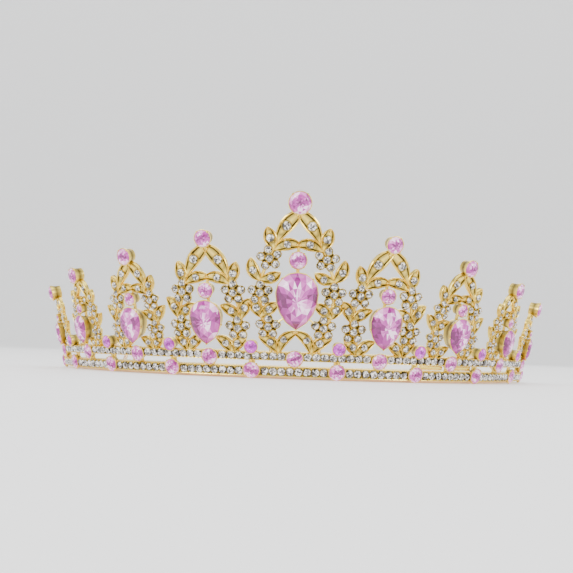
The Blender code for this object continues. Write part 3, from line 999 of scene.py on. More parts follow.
@dataclass
class Sweeper:
    """Carries sections along routes on the cone."""

    cone: Cone
    gilt: Casting

    def sweep(self, turn: float, route: Array, sides: Array, depths: Array, recess: Array,
              mirrored: bool) -> None:
        """Add a closed bar: route point + side x the route's right-hand normal, at its depth.

        Args:
            turn: Turn of the piece that the route belongs to.
            route: Across and rise of the route.
            sides: Side offsets, rows by columns.
            depths: Depths, rows by columns.
            recess: Recess values, rows by columns.
            mirrored: Whether the bar is the left-hand mirror image.
        """
        tangent = np.gradient(route, axis=0)
        tangent /= np.linalg.norm(tangent, axis=1)[:, None]
        normal = np.stack([tangent[:, 1], -tangent[:, 0]], axis=-1)
        flat = route[:, None, :] + sides[..., None] * normal[:, None, :]
        across = -flat[..., 0] if mirrored else flat[..., 0]
        points = self.cone.place(turn, across, flat[..., 1], depths)
        self.gilt.add(points, tube_faces(*sides.shape), recess, mirrored)

    def bar(self, turn: float, route: Array, section: Array, recess: float = 0.0,
            mirrored: bool = False) -> None:
        """Add a bar of one section.

        Args:
            turn: Turn of the piece that the route belongs to.
            route: Across and rise of the route.
            section: Side and depth of the section's corners.
            recess: Recess value of the whole bar.
            mirrored: Whether the bar is the left-hand mirror image.
        """
        shape = (len(route), len(section))
        sides, depths = (np.broadcast_to(section[:, at], shape) for at in (0, 1))
        self.sweep(turn, route, sides, depths, np.full(shape, recess), mirrored)


@dataclass
class Bands:
    """The two bands: channels with raised rails, their rows of clear stones, and the posts."""

    cone: Cone
    plan: Plan
    setter: Setter
    sweeper: Sweeper
    stone: float = 2.30 * MM
    spacing: float = 2.13 * MM
    round_up: float = 0.35
    stone_sink: float = 0.10 * MM
    margin: float = 0.12 * MM
    claw: float = 0.25 * MM
    claw_share: float = 0.42
    rail: float = 0.27 * MM
    rail_front: float = 1.62 * MM
    floor: float = 1.10 * MM
    edge: float = 0.07 * MM
    stations: int = 181
    lower_past: float = 0.02
    upper_past: float = math.radians(1.0)
    upper_row_end: float = 1.375
    back: float = 0.3 * MM
    post_steps: int = 4
    # Recess that paints faint shade on the posts.
    post_recess: float = 0.1
    post_width: float = 1.76 * MM
    post_front: float = 1.05 * MM
    post_ease: float = 0.15 * MM
    slot_places: tuple[float, ...] = (1.5, 2.0)
    slot_steps: int = 12
    slot_ends: tuple[float, float] = (0.16, 0.84)
    slot_width: float = 1.1 * MM
    slot_front: float = 0.9 * MM
    slot_ease: float = 0.12 * MM

    def section(self, foot: float, top: float) -> Array:
        """Section of a channel, down the front and up the back.

        Args:
            foot: Rise of its foot.
            top: Rise of its top.

        Returns:
            Rise, depth and recess of its corners.
        """
        rail, front, edge = self.rail, self.rail_front, self.edge
        # The third value is the recess: painted shade at the rails' inner edges and on the channel's
        # floor.
        half = ((0.0, front - 3 * edge, 0.0), (edge, front - edge / 2, 0.0), (rail / 2, front, 0.0),
                (rail, front - edge, 0.2), (rail + edge, self.floor, 0.5))
        upper = [(top - inset, depth, recess) for inset, depth, recess in half]
        lower = [(foot + inset, depth, recess) for inset, depth, recess in reversed(half)]
        back = [(foot, edge, 0.0), (foot + edge, 0.0, 0.0), (top - edge, 0.0, 0.0), (top, edge, 0.0)]
        return np.array(upper + lower + back)

    def channel(self, foot: float, top: float, end: float, drop: bool) -> None:
        """One band from end to end: its section at equal steps of turn, lowered by the plan's drop.

        Args:
            foot: Rise of its foot.
            top: Rise of its top.
            end: Turn of its right-hand end.
            drop: Whether it follows the plan's drop.
        """
        section = self.section(foot, top)
        turns = np.linspace(-end, end, self.stations)[:, None]
        rise = section[:, 0] - (self.plan.drop(turns) if drop else np.zeros_like(turns))
        points = self.cone.place(turns, 0.0, rise, section[:, 1])
        recess = np.tile(section[:, 2], (self.stations, 1))
        self.setter.gilt.add(points, tube_faces(self.stations, len(section)), recess)

    def row(self, breaks: Array, rise: float, drop: bool) -> None:
        """Clear stones between the breaks of a band, with a claw on each rail between neighbours.

        Args:
            breaks: Turns at which pink stones, or the band's ends, interrupt the row.
            rise: Rise of the row's middle.
            drop: Whether the row follows the plan's drop.
        """
        radius = self.cone.rim_radius + rise * math.sin(self.cone.flare)
        margin = (self.plan.band_stone / 2 + self.margin) / radius
        turns, gaps = [], []
        for low, high in zip(breaks[:-1], breaks[1:]):
            start, stop = low + margin, high - margin
            count = int((stop - start) * radius / self.spacing + self.round_up)
            edges = np.linspace(start, stop, count + 1)
            turns.append((edges[:-1] + edges[1:]) / 2)
            gaps.append(edges)
        turn, gap = np.concatenate(turns), np.concatenate(gaps)
        facets = self.setter.CLEAR_SIDES
        spin = self.setter.rng.integers(0, facets, len(turn)) * FULL_TURN / facets
        middle = rise - (self.plan.drop(turn) if drop else 0.0)
        depth = self.rail_front - self.stone_sink
        self.setter.clear_stones(self.cone.seats(turn, 0.0, middle, depth, self.stone / 2, spin))
        middle = rise - (self.plan.drop(gap) if drop else 0.0)
        for lift in (-self.claw_share * self.stone, self.claw_share * self.stone):
            self.setter.claws(self.cone.seats(gap, 0.0, middle + lift, self.rail_front, self.claw))

    def posts(self) -> None:
        """Posts between the bands behind each pink stone, and the flat bars in the right-hand slot."""
        plan = self.plan
        post = flat_section(self.post_width, self.back, self.post_front, self.post_ease)
        low, high = plan.lower_top - 2 * plan.lip, plan.upper_foot + 2 * plan.lip
        route = np.linspace((0.0, low), (0.0, high), self.post_steps)
        for step in plan.stone_steps:
            self.sweeper.bar(step * plan.pitch, route, post, self.post_recess)
        slot_bar = flat_section(self.slot_width, self.back, self.slot_front, self.slot_ease)
        middle = (plan.lower_top + plan.upper_foot) / 2
        start, stop = (share * plan.pitch / 2 * self.cone.rim_radius for share in self.slot_ends)
        route = np.linspace((start, middle), (stop, middle), self.slot_steps)
        for place in self.slot_places:
            self.sweeper.bar(place * plan.pitch, route, slot_bar)

    def build(self) -> None:
        """Both channels, their rows and the posts."""
        plan = self.plan
        self.channel(plan.lower_foot, plan.lower_top, plan.half_turn, False)
        self.channel(plan.upper_foot, plan.upper_top, plan.merge_end + self.upper_past, True)
        lower, upper = plan.stone_steps[::2] * plan.pitch, plan.stone_steps[1::2] * plan.pitch
        end = plan.half_turn + self.lower_past
        self.row(np.concatenate([[-end], lower, [end]]), plan.lower_foot + plan.lower_width / 2, False)
        end = self.upper_row_end
        self.row(np.concatenate([[-end], upper, [end]]), plan.upper_foot + plan.upper_width / 2, True)
        self.posts()


@dataclass
class Medallions:
    """The nine medallions: stems, leaves, flowers, spines and the clear stones that they hold."""

    cone: Cone
    plan: Plan
    setter: Setter
    sweeper: Sweeper
    centre_height: float = 42.0 * MM
    side_height: float = 32.1 * MM
    centre_top: float = 6.0 * MM
    side_top: float = 4.6 * MM
    side_shares: tuple[float, ...] = (1.0, 0.85, 0.70, 0.56)
    stem_radius: float = 0.46 * MM
    stem_sides: int = 8
    stem_steps: int = 5
    spine_steps: int = 6
    # Recess values that paint faint shade on the stems and prongs.
    stem_recess: float = 0.15
    prong_share: float = 0.6
    prong_depth_share: float = 2.2
    prong_sides: int = 6
    prong_steps: int = 4
    prong_recess: float = 0.2
    leaf_rows: int = 13
    leaf_layer: float = 0.08 * MM
    leaf_front: float = 0.6 * MM
    leaf_floor: float = 0.98 * MM
    leaf_floor_share: float = 0.5
    floor_climb: float = 1.6
    recess_climb: float = 1.4
    leaf_stone_depth: float = 1.16 * MM
    leaf_stone_share: float = 0.60
    leaf_cup_share: float = 1.16
    leaf_cup_sink: float = 0.03 * MM
    leaf_ring_share: float = 1.05
    leaf_claw: float = 0.14 * MM
    grain_rows: tuple[int, int] = (3, 4)
    grain_shares: tuple[float, float] = (0.24, 0.17)
    swell_power: float = 0.78
    swell_least: float = 0.05
    shadow: float = 0.62
    shadow_place: float = 0.27
    shadow_reach: float = 0.07
    petals: int = 5
    petal_lean: float = math.radians(13.0)
    petal_depth: float = 1.20 * MM
    middle_depth: float = 1.42 * MM
    flower_claw_depth: float = 1.30 * MM
    flower_cup_share: float = 0.495
    flower_stone_share: float = 0.89
    flower_ring_share: float = 0.97
    flower_claw_share: float = 0.0775
    hub_sides: int = 15

    # The third column is the recess: painted shade in the grooves inside the double rim.
    LEAF_SECTION = np.array([
        (-1.00, 0.55, 0.0), (-0.97, 1.12, 0.0), (-0.86, 1.26, 0.0), (-0.74, 1.12, 0.3),
        (-0.62, 0.72, 1.0), (-0.44, 0.84, 0.5), (0.00, 1.00, 0.1), (0.44, 0.84, 0.5),
        (0.62, 0.72, 1.0), (0.74, 1.12, 0.3), (0.86, 1.26, 0.0), (0.97, 1.12, 0.0),
        (1.00, 0.55, 0.0), (0.97, 0.08, 0.0), (-0.97, 0.08, 0.0),
    ]) * (1.0, MM, 1.0)
    # The recess paints shade on the hub's front, below the stones.
    HUB_ROWS = (Row(0.90, 0.12 * MM, 0.0), Row(1.02, 0.20 * MM, 0.0), Row(1.02, 0.70 * MM, 0.6),
                Row(0.9, 0.80 * MM, 1.0))

    def spots(self) -> list[Spot]:
        """Every medallion, from the middle outwards.

        Returns:
            The medallions.
        """
        found = [Spot(0.0, self.centre_height, CENTRE_LAYOUT, self.centre_top, "centre")]
        for step, share in enumerate(self.side_shares, start=1):
            for side in Side:
                found.append(Spot(side.value * step * self.plan.pitch, self.side_height * share,
                                  SIDE_LAYOUT, self.side_top, f"{side.name.lower()}_{step}"))
        return found

    def leaf(self, spot: Spot, leaf: Leaf, mirrored: bool, layer: float) -> None:
        """One boat-shaped leaf with a double rim, its clear stone and grains.

        Along the leaf the half width is that of the table times (4 t (1 - t)) to the power 0.78, where
        t is s to the power log 0.5 / log(widest). The middle line bows by the leaf's length times its
        bow and sin(pi s). Towards both ends the floor comes up to the rim, by 1.6 x swell, and the
        recess, which sets the painted shade in the grooves, fades, by 1.4 x swell. A painted shadow
        darkens the floor below the stone, by 0.62 x exp(-((s - 0.27) / 0.07) squared).

        Args:
            spot: The medallion.
            leaf: Row of the layout.
            mirrored: Whether it is the left-hand one.
            layer: Small step forward that keeps crossing leaves apart.
        """
        tip = np.array([leaf.tip_across, leaf.tip_up]) * spot.height
        base = np.array([leaf.base_across, leaf.base_up]) * spot.height
        along = tip - base
        length = float(np.linalg.norm(along))
        outward = np.array([along[1], -along[0]]) / length
        share = (1 - np.cos(np.linspace(0.0, math.pi, self.leaf_rows))) / 2
        bow = leaf.bow * length * np.sin(math.pi * share)
        base += (0.0, self.plan.upper_stone_rise)
        middle = base + along * share[:, None] + outward * bow[:, None]
        half = leaf.width * spot.height / 2
        drawn = share ** (math.log(0.5) / math.log(leaf.widest))
        swell = np.maximum((4 * drawn * (1 - drawn)) ** self.swell_power, self.swell_least)[:, None]
        reach, height, recess = self.LEAF_SECTION.T
        rim = height.max()
        is_front = height > self.leaf_front
        risen = rim - (rim - height) * np.minimum(1.0, self.floor_climb * swell)
        depth = np.where(is_front, risen, height)
        # Painted shadow on the leaf's floor below the stone.
        shadow = self.shadow * np.exp(-((share[:, None] - self.shadow_place) / self.shadow_reach) ** 2)
        shadow = shadow * ((np.abs(reach) < self.leaf_floor_share) & is_front)
        recess = np.maximum(recess * np.minimum(1.0, self.recess_climb * swell), shadow)
        self.sweeper.sweep(spot.turn, middle, reach * half * swell, depth + layer, recess, mirrored)
        self.leaf_stone(spot, middle, half, layer, mirrored)

    def leaf_stone(self, spot: Spot, middle: Array, half: float, layer: float, mirrored: bool) -> None:
        """The clear stone at a leaf's widest place, four claws round it, and grains along its floor.

        Args:
            spot: The medallion.
            middle: Middle line of the right-hand leaf.
            half: Half width of the leaf.
            layer: The leaf's step forward.
            mirrored: Whether it is the left-hand one.
        """
        turn, line, row = spot.turn, middle * (-1.0 if mirrored else 1.0, 1.0), self.leaf_rows // 2
        across, rise = line[row]
        radius, depth = self.leaf_stone_share * half, self.leaf_stone_depth + layer
        spin = self.setter.rng.uniform(0, FULL_TURN)
        self.setter.clear_stones(self.cone.seats(turn, across, rise, depth, radius, spin))
        self.setter.cups(self.cone.seats(turn, across, rise, depth - self.leaf_cup_sink,
                                         self.leaf_cup_share * radius))
        self.setter.claws_round(turn, line[row:row + 1, 0], line[row:row + 1, 1], depth,
                                self.leaf_ring_share * radius, self.leaf_claw, math.pi / 4)
        grains = line[[row + step for step in self.grain_rows]]
        sizes = np.array(self.grain_shares) * half
        depth = self.leaf_floor + layer
        self.setter.claws(self.cone.seats(turn, grains[:, 0], grains[:, 1], depth, sizes))

    def flower(self, spot: Spot, flower: Flower, mirrored: bool) -> None:
        """A flower: a hub, a raised middle stone and five leaning petal stones, each in a clawed cup.

        Args:
            spot: The medallion.
            flower: Row of the layout.
            mirrored: Whether it is the left-hand one.
        """
        turn, reach = spot.turn, flower.reach * spot.height
        across = flower.across * spot.height * (-1.0 if mirrored else 1.0)
        rise = self.plan.upper_stone_rise + flower.up * spot.height
        heading = math.radians(180.0 - flower.turn if mirrored else flower.turn)
        angle = heading + np.arange(self.petals) * FULL_TURN / self.petals
        sideways = np.append(across + reach * np.cos(angle), across)
        upwards = np.append(rise + reach * np.sin(angle), rise)
        depth = np.append(np.full(self.petals, self.petal_depth), self.middle_depth)
        lean = np.append(np.full(self.petals, self.petal_lean), 0.0)
        spin = np.append(angle, self.setter.rng.uniform(0, FULL_TURN))
        radius = self.flower_cup_share * reach
        cups, stones = (self.cone.seats(turn, sideways, upwards, depth, size, spin, lean)
                        for size in (radius, self.flower_stone_share * radius))
        self.setter.clear_stones(stones)
        self.setter.cups(cups)
        self.setter.claws_round(turn, sideways, upwards, self.flower_claw_depth,
                                self.flower_ring_share * radius, self.flower_claw_share * reach, heading)
        hub = lofted(ring_outline(self.hub_sides, reach)(0.0), self.HUB_ROWS)
        self.setter.gilt.add_copies(self.cone.seats(turn, across, rise, 0.0), hub)

    def stems(self, spot: Spot) -> None:
        """Side stems, the spine behind the pink stones, the neck under the top stone, and the thin
        prongs that reach to the pear.

        Args:
            spot: The medallion.
        """
        foot = self.plan.upper_stone_rise
        radius = self.stem_radius
        stem = round_section(radius, radius, self.stem_sides)
        depth = self.prong_depth_share * radius
        thin = round_section(self.prong_share * radius, depth, self.prong_sides)
        stem_points, prong_points = (np.array(points) * spot.height
                                     for points in (spot.layout.stem, spot.layout.prong))
        route = smooth_route(stem_points, self.stem_steps) + (0.0, foot)
        for mirrored in (False, True):
            self.sweeper.bar(spot.turn, route, stem, self.stem_recess, mirrored)
        for ends in (spot.layout.spine, spot.layout.neck):
            low, high = (end * spot.height + foot for end in ends)
            route = np.linspace((0.0, low), (0.0, high), self.spine_steps)
            self.sweeper.bar(spot.turn, route, stem, self.stem_recess)
        if spot.layout.prong:
            route = smooth_route(prong_points, self.prong_steps) + (0.0, foot)
            for mirrored in (False, True):
                self.sweeper.bar(spot.turn, route, thin, self.prong_recess, mirrored)

    def build(self) -> None:
        """Every medallion, its leaves in three layers that are half a layer apart on the two sides."""
        for spot in self.spots():
            self.stems(spot)
            for mirrored in (False, True):
                for order, leaf in enumerate(spot.layout.leaves):
                    self.leaf(spot, leaf, mirrored, (order % 3 + mirrored / 2) * self.leaf_layer)
                for flower in spot.layout.flowers:
                    self.flower(spot, flower, mirrored)


@dataclass
class MainStones:
    """The large pink and violet stones and the cups that hold them."""

    cone: Cone
    plan: Plan
    setter: Setter
    sweeper: Sweeper
    medallions: Medallions
    cup_back: float = -0.4 * MM
    band_cup_back: float = 0.3 * MM
    cup_wall: float = 0.16 * MM
    claw: float = 0.30 * MM
    claw_lift: float = 0.05 * MM
    pear_claw_lift: float = 0.1 * MM
    pear_sides: int = 16
    pink_facets: int = 12
    violet_facets: int = 10
    pink_cup_sides: int = 18
    violet_cup_sides: int = 16
    band_girdle: float = 0.12
    tone_turn: float = 0.7
    foot_radius: float = 0.45 * MM
    foot_sides: int = 8
    foot_steps: int = 4

    PEAR_CLAWS = [0, 3, 6, 10, 13]
    ROUND_CLAWS = {18: [2, 7, 11, 16], 16: [2, 6, 10, 14]}

    # The ring tones and lobes below paint the pink and violet stones' reflections: lobes that raise the
    # tone are painted highlights, lobes that lower it painted shade.
    ROUND_RINGS = (
        Cut(0.50, 0.00, False, 0.30, 0.2),
        Cut(1.00, 0.19, True, 0.50, 0.15),
        Cut(0.985, 0.22, False, 0.76, 0.20),
        Cut(0.74, 0.32, True, 0.68, 0.34),
        Cut(0.46, 0.37, False, 0.58, 0.40),
        Cut(0.20, 0.373, True, 0.44, 0.38),
    )
    ROUND_LOBES = (
        Lobe(-0.75, 0.05, 0.28, -0.34), Lobe(-0.25, 0.14, 0.24, -0.40), Lobe(0.15, 0.02, 0.24, -0.38),
        Lobe(0.75, 0.06, 0.34, -0.55), Lobe(0.00, -0.65, 0.45, 0.16), Lobe(-0.10, 0.65, 0.40, 0.12),
    )
    PEAR_RINGS = (
        Cut(0.50, 0.00, False, 0.30, 0.2),
        Cut(1.00, 0.19, True, 0.35, 0.12),
        Cut(0.985, 0.21, False, 0.60, 0.22),
        Cut(0.76, 0.33, True, 0.58, 0.32),
        Cut(0.50, 0.37, False, 0.66, 0.32),
        Cut(0.22, 0.374, True, 0.66, 0.32),
    )
    PEAR_LOBES = (
        Lobe(-0.65, 0.68, 0.24, 0.55), Lobe(0.65, 0.72, 0.24, 0.55), Lobe(0.00, 0.90, 0.20, -0.30),
        Lobe(-0.78, 0.20, 0.42, -0.52), Lobe(-0.55, -0.35, 0.36, -0.42), Lobe(-0.05, -0.90, 0.24, -0.46),
        Lobe(0.80, 0.22, 0.30, -0.55), Lobe(0.40, 0.30, 0.18, -0.32), Lobe(-0.38, 0.20, 0.18, -0.34),
        Lobe(0.30, -0.18, 0.25, 0.42), Lobe(0.45, -0.60, 0.22, 0.20), Lobe(-0.05, 0.55, 0.26, 0.14),
    )

    def cup(self, seat: Place, outline: Array, back: float, girdle: float) -> None:
        """A cup with a flared wall up to a stone's girdle.

        Args:
            seat: Turn, across and rise of the stone.
            outline: Outline of the girdle.
            back: Depth of the cup's back.
            girdle: Depth of the girdle.
        """
        wall = self.cup_wall / float(np.abs(outline).max())
        # The recess of each row paints shade on the cup's back, at its waist and inside its lip.
        rows = (
            Row(0.74, back, 0.5),
            Row(0.82, back + 0.06 * MM, 0.2),
            Row(0.86, (back + girdle) / 2, 0.75),
            Row(1.00 + wall, girdle - 0.22 * MM, 0.1),
            Row(1.01 + wall, girdle - 0.02 * MM, 0.0),
            Row(1.00, girdle + 0.03 * MM, 0.3),
            Row(0.90, girdle - 0.25 * MM, 1.0),
        )
        self.setter.gilt.add_copies(self.cone.seats(*seat, 0.0), lofted(outline, rows))

    def claws(self, seat: Place, places: Array, depth: float) -> None:
        """Claws bent over a girdle.

        Args:
            seat: Turn, across and rise of the stone.
            places: Places of the claws round the stone's middle.
            depth: Depth of the claws.
        """
        turn, across, rise = seat
        across, rise = across + places[:, 0], rise + places[:, 1]
        self.setter.claws(self.cone.seats(turn, across, rise, depth, self.claw))

    def round_cup(self, seat: Place, size: float, sides: int, back: float, girdle: float) -> None:
        """A cup and four claws for a round stone.

        Args:
            seat: Turn, across and rise of the stone.
            size: Size of the stone.
            sides: Sides of the cup.
            back: Depth of the cup's back.
            girdle: Depth of the girdle.
        """
        ring = ring_outline(sides, size / 2)(0.0)
        self.cup(seat, ring, back, girdle)
        self.claws(seat, ring[self.ROUND_CLAWS[sides]], girdle + self.claw_lift)

    def stone(self, name: str, seat: Place, shape: Shape,
              finish: bpy.types.Material) -> bpy.types.Object:
        """One cut stone as a piece of its own.

        Args:
            name: Name of the piece.
            seat: Turn, across and rise of the stone.
            shape: The stone.
            finish: Its material.

        Returns:
            The piece.
        """
        casting = Casting(Domain.FACE)
        casting.add_copies(self.cone.seats(*seat, self.plan.seat_depth), shape)
        return casting.piece(name, finish, None)

    def round_stone(self, size: float, facets: int) -> Shape:
        """A round cut stone with its own tones.

        Args:
            size: Size of the stone.
            facets: Facets in a ring.

        Returns:
            The stone.
        """
        turn = self.setter.rng.uniform(-self.tone_turn, self.tone_turn)
        return cut_stone(ring_outline(facets, size / 2), size, self.ROUND_RINGS, self.setter.rng,
                         self.ROUND_LOBES, turn)

    def build(self, pink: bpy.types.Material,
              violet: bpy.types.Material) -> dict[str, tuple[bpy.types.Object, str]]:
        """Every main stone and its cup.

        Args:
            pink: Material of the pink stones.
            violet: Material of the violet stones.

        Returns:
            Pieces and their record slots by the name of the node that each replaces.
        """
        plan, made = self.plan, {}
        foot = plan.upper_stone_rise
        for spot in self.medallions.spots():
            pear, small, height = spot.layout.pear, spot.layout.small, spot.height
            width = pear.width * height
            outline = pear_outline(self.pear_sides, pear.length * height, width)
            girdle = plan.seat_depth + plan.pavilion * width
            seat = (spot.turn, 0.0, foot + pear.up * height)
            self.cup(seat, outline(0.0), self.cup_back, girdle)
            self.claws(seat, outline(0.0)[self.PEAR_CLAWS], girdle + self.pear_claw_lift)
            shape = cut_stone(outline, width, self.PEAR_RINGS, self.setter.rng, self.PEAR_LOBES)
            piece = self.stone(f"pear_cut_{spot.ending}", seat, shape, pink)
            made[f"pear_stone_{spot.ending}"] = (piece, "pink_stone")
            for kind, up, size in (("small", small.up, small.width * height), ("top", 1.0, spot.top)):
                seat = (spot.turn, 0.0, foot + up * height)
                girdle = plan.seat_depth + plan.pavilion * size
                self.round_cup(seat, size, self.pink_cup_sides, self.cup_back, girdle)
                shape = self.round_stone(size, self.pink_facets)
                piece = self.stone(f"{kind}_cut_{spot.ending}", seat, shape, pink)
                made[f"{kind}_stone_{spot.ending}"] = (piece, "pink_stone")
        return made | self.violets(violet)

    def violets(self, violet: bpy.types.Material) -> dict[str, tuple[bpy.types.Object, str]]:
        """The violet stones between the medallions, on short feet.

        Args:
            violet: Material of the stones.

        Returns:
            Pieces and their record slots by the name of the node that each replaces.
        """
        plan, made = self.plan, {}
        rise = plan.upper_stone_rise + plan.violet_rise
        girdle = plan.seat_depth + plan.pavilion * plan.violet_stone
        section = round_section(self.foot_radius, self.foot_radius, self.foot_sides)
        route = np.linspace((0.0, plan.upper_top - 2 * plan.lip), (0.0, rise), self.foot_steps)
        for step in range(plan.side_count):
            for side in Side:
                seat = (side.value * (step + 0.5) * plan.pitch, 0.0, rise)
                self.round_cup(seat, plan.violet_stone, self.violet_cup_sides, self.cup_back, girdle)
                self.sweeper.bar(seat[0], route, section)
                ending = f"{side.name.lower()}_{step + 1}"
                shape = self.round_stone(plan.violet_stone, self.violet_facets)
                piece = self.stone(f"violet_cut_{ending}", seat, shape, violet)
                made[f"violet_stone_{ending}"] = (piece, "violet_stone")
        return made

    def band_stones(self, pink: bpy.types.Material) -> bpy.types.Object:
        """The pink stones of both bands, with their cups and claws.

        Args:
            pink: Material of the stones.

        Returns:
            The stones as one piece.
        """
        plan = self.plan
        casting = Casting(Domain.FACE)
        girdle = plan.band_depth + self.band_girdle * plan.band_stone
        for step in plan.stone_steps:
            is_upper = step == round(step)
            seat = (step * plan.pitch, 0.0, plan.upper_stone_rise if is_upper else plan.lower_stone_rise)
            self.round_cup(seat, plan.band_stone, self.pink_cup_sides, self.band_cup_back, girdle)
            depth = girdle - plan.pavilion * plan.band_stone
            shape = self.round_stone(plan.band_stone, self.pink_facets)
            casting.add_copies(self.cone.seats(*seat, depth), shape)
        return casting.piece("band_stones", pink, None)


@dataclass
class HeadWire:
    """The round head wire: rim, arms, bends and eyes, and the clips that hold it."""

    cone: Cone
    plan: Plan
    sweeper: Sweeper
    thickness: float = 1.5 * MM
    ring: float = 70.142 * MM
    arm_length: float = 46.0 * MM
    arm_inset: float = 3.0 * MM
    arm_hold: float = 0.42
    arm_hold_back: float = 0.21
    eye_outer: float = 10.0 * MM
    eye_turn_in: float = math.radians(24.0)
    eye_sweep: float = math.radians(322.0)
    bend_share: float = 0.82
    dome_length: float = 0.25 * MM
    dome_radius: float = 0.45 * MM
    sides: int = 14
    rim_steps: int = 60
    arm_steps: int = 30
    bend_steps: int = 10
    eye_steps: int = 48
    smooth_to: float = math.radians(60.0)
    clip_turn: float = math.radians(85.5)
    clip_steps: int = 5
    clip_length: float = 3.0 * MM
    clip_wall: float = 0.8 * MM
    clip_gap: float = 0.34 * MM
    clip_front: float = 0.75 * MM
    clip_ease: float = 0.12 * MM
    lip_below: float = 0.68 * MM
    lip_above: float = 0.55 * MM
    lip_inset: float = 0.04 * MM
    lip_share: float = 0.97

    def half_path(self) -> Array:
        """Right half of the wire's middle line.

        A quarter turn round the rim, an arm as a Bezier cubic, a quarter circle as bend and an open
        ring as eye, both in the upright plane that turns inwards by eye_turn_in.

        Returns:
            Points from the front to the eye's end.
        """
        radius = self.thickness / 2
        turns = np.linspace(0.0, self.plan.half_turn, self.rim_steps + 1)[1:]
        heights = np.full(self.rim_steps, radius)
        rim = np.stack([self.ring * np.sin(turns), -self.ring * np.cos(turns), heights], axis=-1)
        inward = np.array([-math.sin(self.eye_turn_in), math.cos(self.eye_turn_in), 0.0])
        upward = np.array([0.0, 0.0, 1.0])
        eye_radius = self.eye_outer / 2 - radius
        bend = eye_radius * self.bend_share
        start = rim[-1]
        finish = np.array([self.ring - self.arm_inset, start[1] + self.arm_length,
                           self.eye_outer / 2 + bend])
        first = start + (0.0, self.arm_length * self.arm_hold, 0.0)
        second = finish - inward * self.arm_length * self.arm_hold_back
        share = np.linspace(0, 1, self.arm_steps + 1)[1:, None]
        arm = ((1 - share) ** 3 * start + 3 * (1 - share) ** 2 * share * first
               + 3 * (1 - share) * share ** 2 * second + share ** 3 * finish)
        angle = np.linspace(0, math.pi / 2, self.bend_steps + 1)[1:, None]
        elbow = finish - upward * bend + bend * (inward * np.sin(angle) + upward * np.cos(angle))
        centre = elbow[-1] + inward * eye_radius
        angle = np.linspace(0, self.eye_sweep, self.eye_steps + 1)[1:, None]
        eye = centre - eye_radius * (inward * np.cos(angle) + upward * np.sin(angle))
        return np.concatenate([rim, arm, elbow, eye])

    def build(self, material: bpy.types.Material) -> bpy.types.Object:
        """The whole wire, with domed ends.

        The section's up direction is carried from the front to both ends: at each step the part of
        it that lies along the wire is taken away and the rest is made a unit long.

        Args:
            material: Material of the wire.

        Returns:
            The wire as one piece.
        """
        half = self.half_path()
        front = np.array([[0.0, -self.ring, self.thickness / 2]])
        path = np.concatenate([half[::-1] * (-1, 1, 1), front, half])
        tangent = np.gradient(path, axis=0)
        tangent /= np.linalg.norm(tangent, axis=1)[:, None]
        ups = np.zeros_like(path)
        middle = len(half)
        ups[middle] = (0.0, 0.0, 1.0)
        for sense in (1, -1):
            for at in range(middle + sense, middle + sense * (middle + 1), sense):
                carried = ups[at - sense] - tangent[at] * np.dot(ups[at - sense], tangent[at])
                ups[at] = carried / np.linalg.norm(carried)
        across = np.cross(tangent, ups)
        dome = self.dome_length * tangent
        path = np.vstack([path[0] - dome[0], path, path[-1] + dome[-1]])
        ups, across = (np.vstack([rows[:1], rows, rows[-1:]]) for rows in (ups, across))
        radii = np.full(len(path), self.thickness / 2)
        radii[[0, -1]] = self.dome_radius
        angle = np.arange(self.sides)[None, :, None] * FULL_TURN / self.sides
        points = path[:, None, :] + radii[:, None, None] * (
            np.cos(angle) * ups[:, None, :] + np.sin(angle) * across[:, None, :])
        points += (0.0, self.cone.axis_y, 0.0)
        casting = Casting(Domain.POINT)
        casting.add(points, tube_faces(len(path), self.sides), np.zeros(points.shape[:2]))
        return casting.piece("head_wire_round", material, self.smooth_to)

    def clips(self) -> None:
        """Plate over the wire and lip down its inner side, at both ends of the strip."""
        radius, sine, cosine = self.thickness / 2, math.sin(self.cone.flare), math.cos(self.cone.flare)
        offset = self.ring - self.cone.rim_radius
        depth = offset * cosine - radius * sine
        rise = offset * sine + radius * cosine
        reach = radius + self.clip_gap
        inner = depth - reach - self.clip_wall
        plate_rise = rise + reach + self.clip_wall / 2
        plate = flat_section(self.clip_wall, inner, self.clip_front, self.clip_ease)
        low, high = rise - self.lip_below, rise + reach + self.lip_above
        lip = flat_section(high - low, inner + self.lip_inset, inner + self.clip_wall, self.clip_ease)
        half = self.clip_length / 2
        parts = ((plate, plate_rise, half), (lip, (low + high) / 2, half * self.lip_share))
        for side in Side:
            for section, middle, end in parts:
                route = np.linspace((-end, middle), (end, middle), self.clip_steps)
                self.sweeper.bar(side.value * self.clip_turn, route, section)


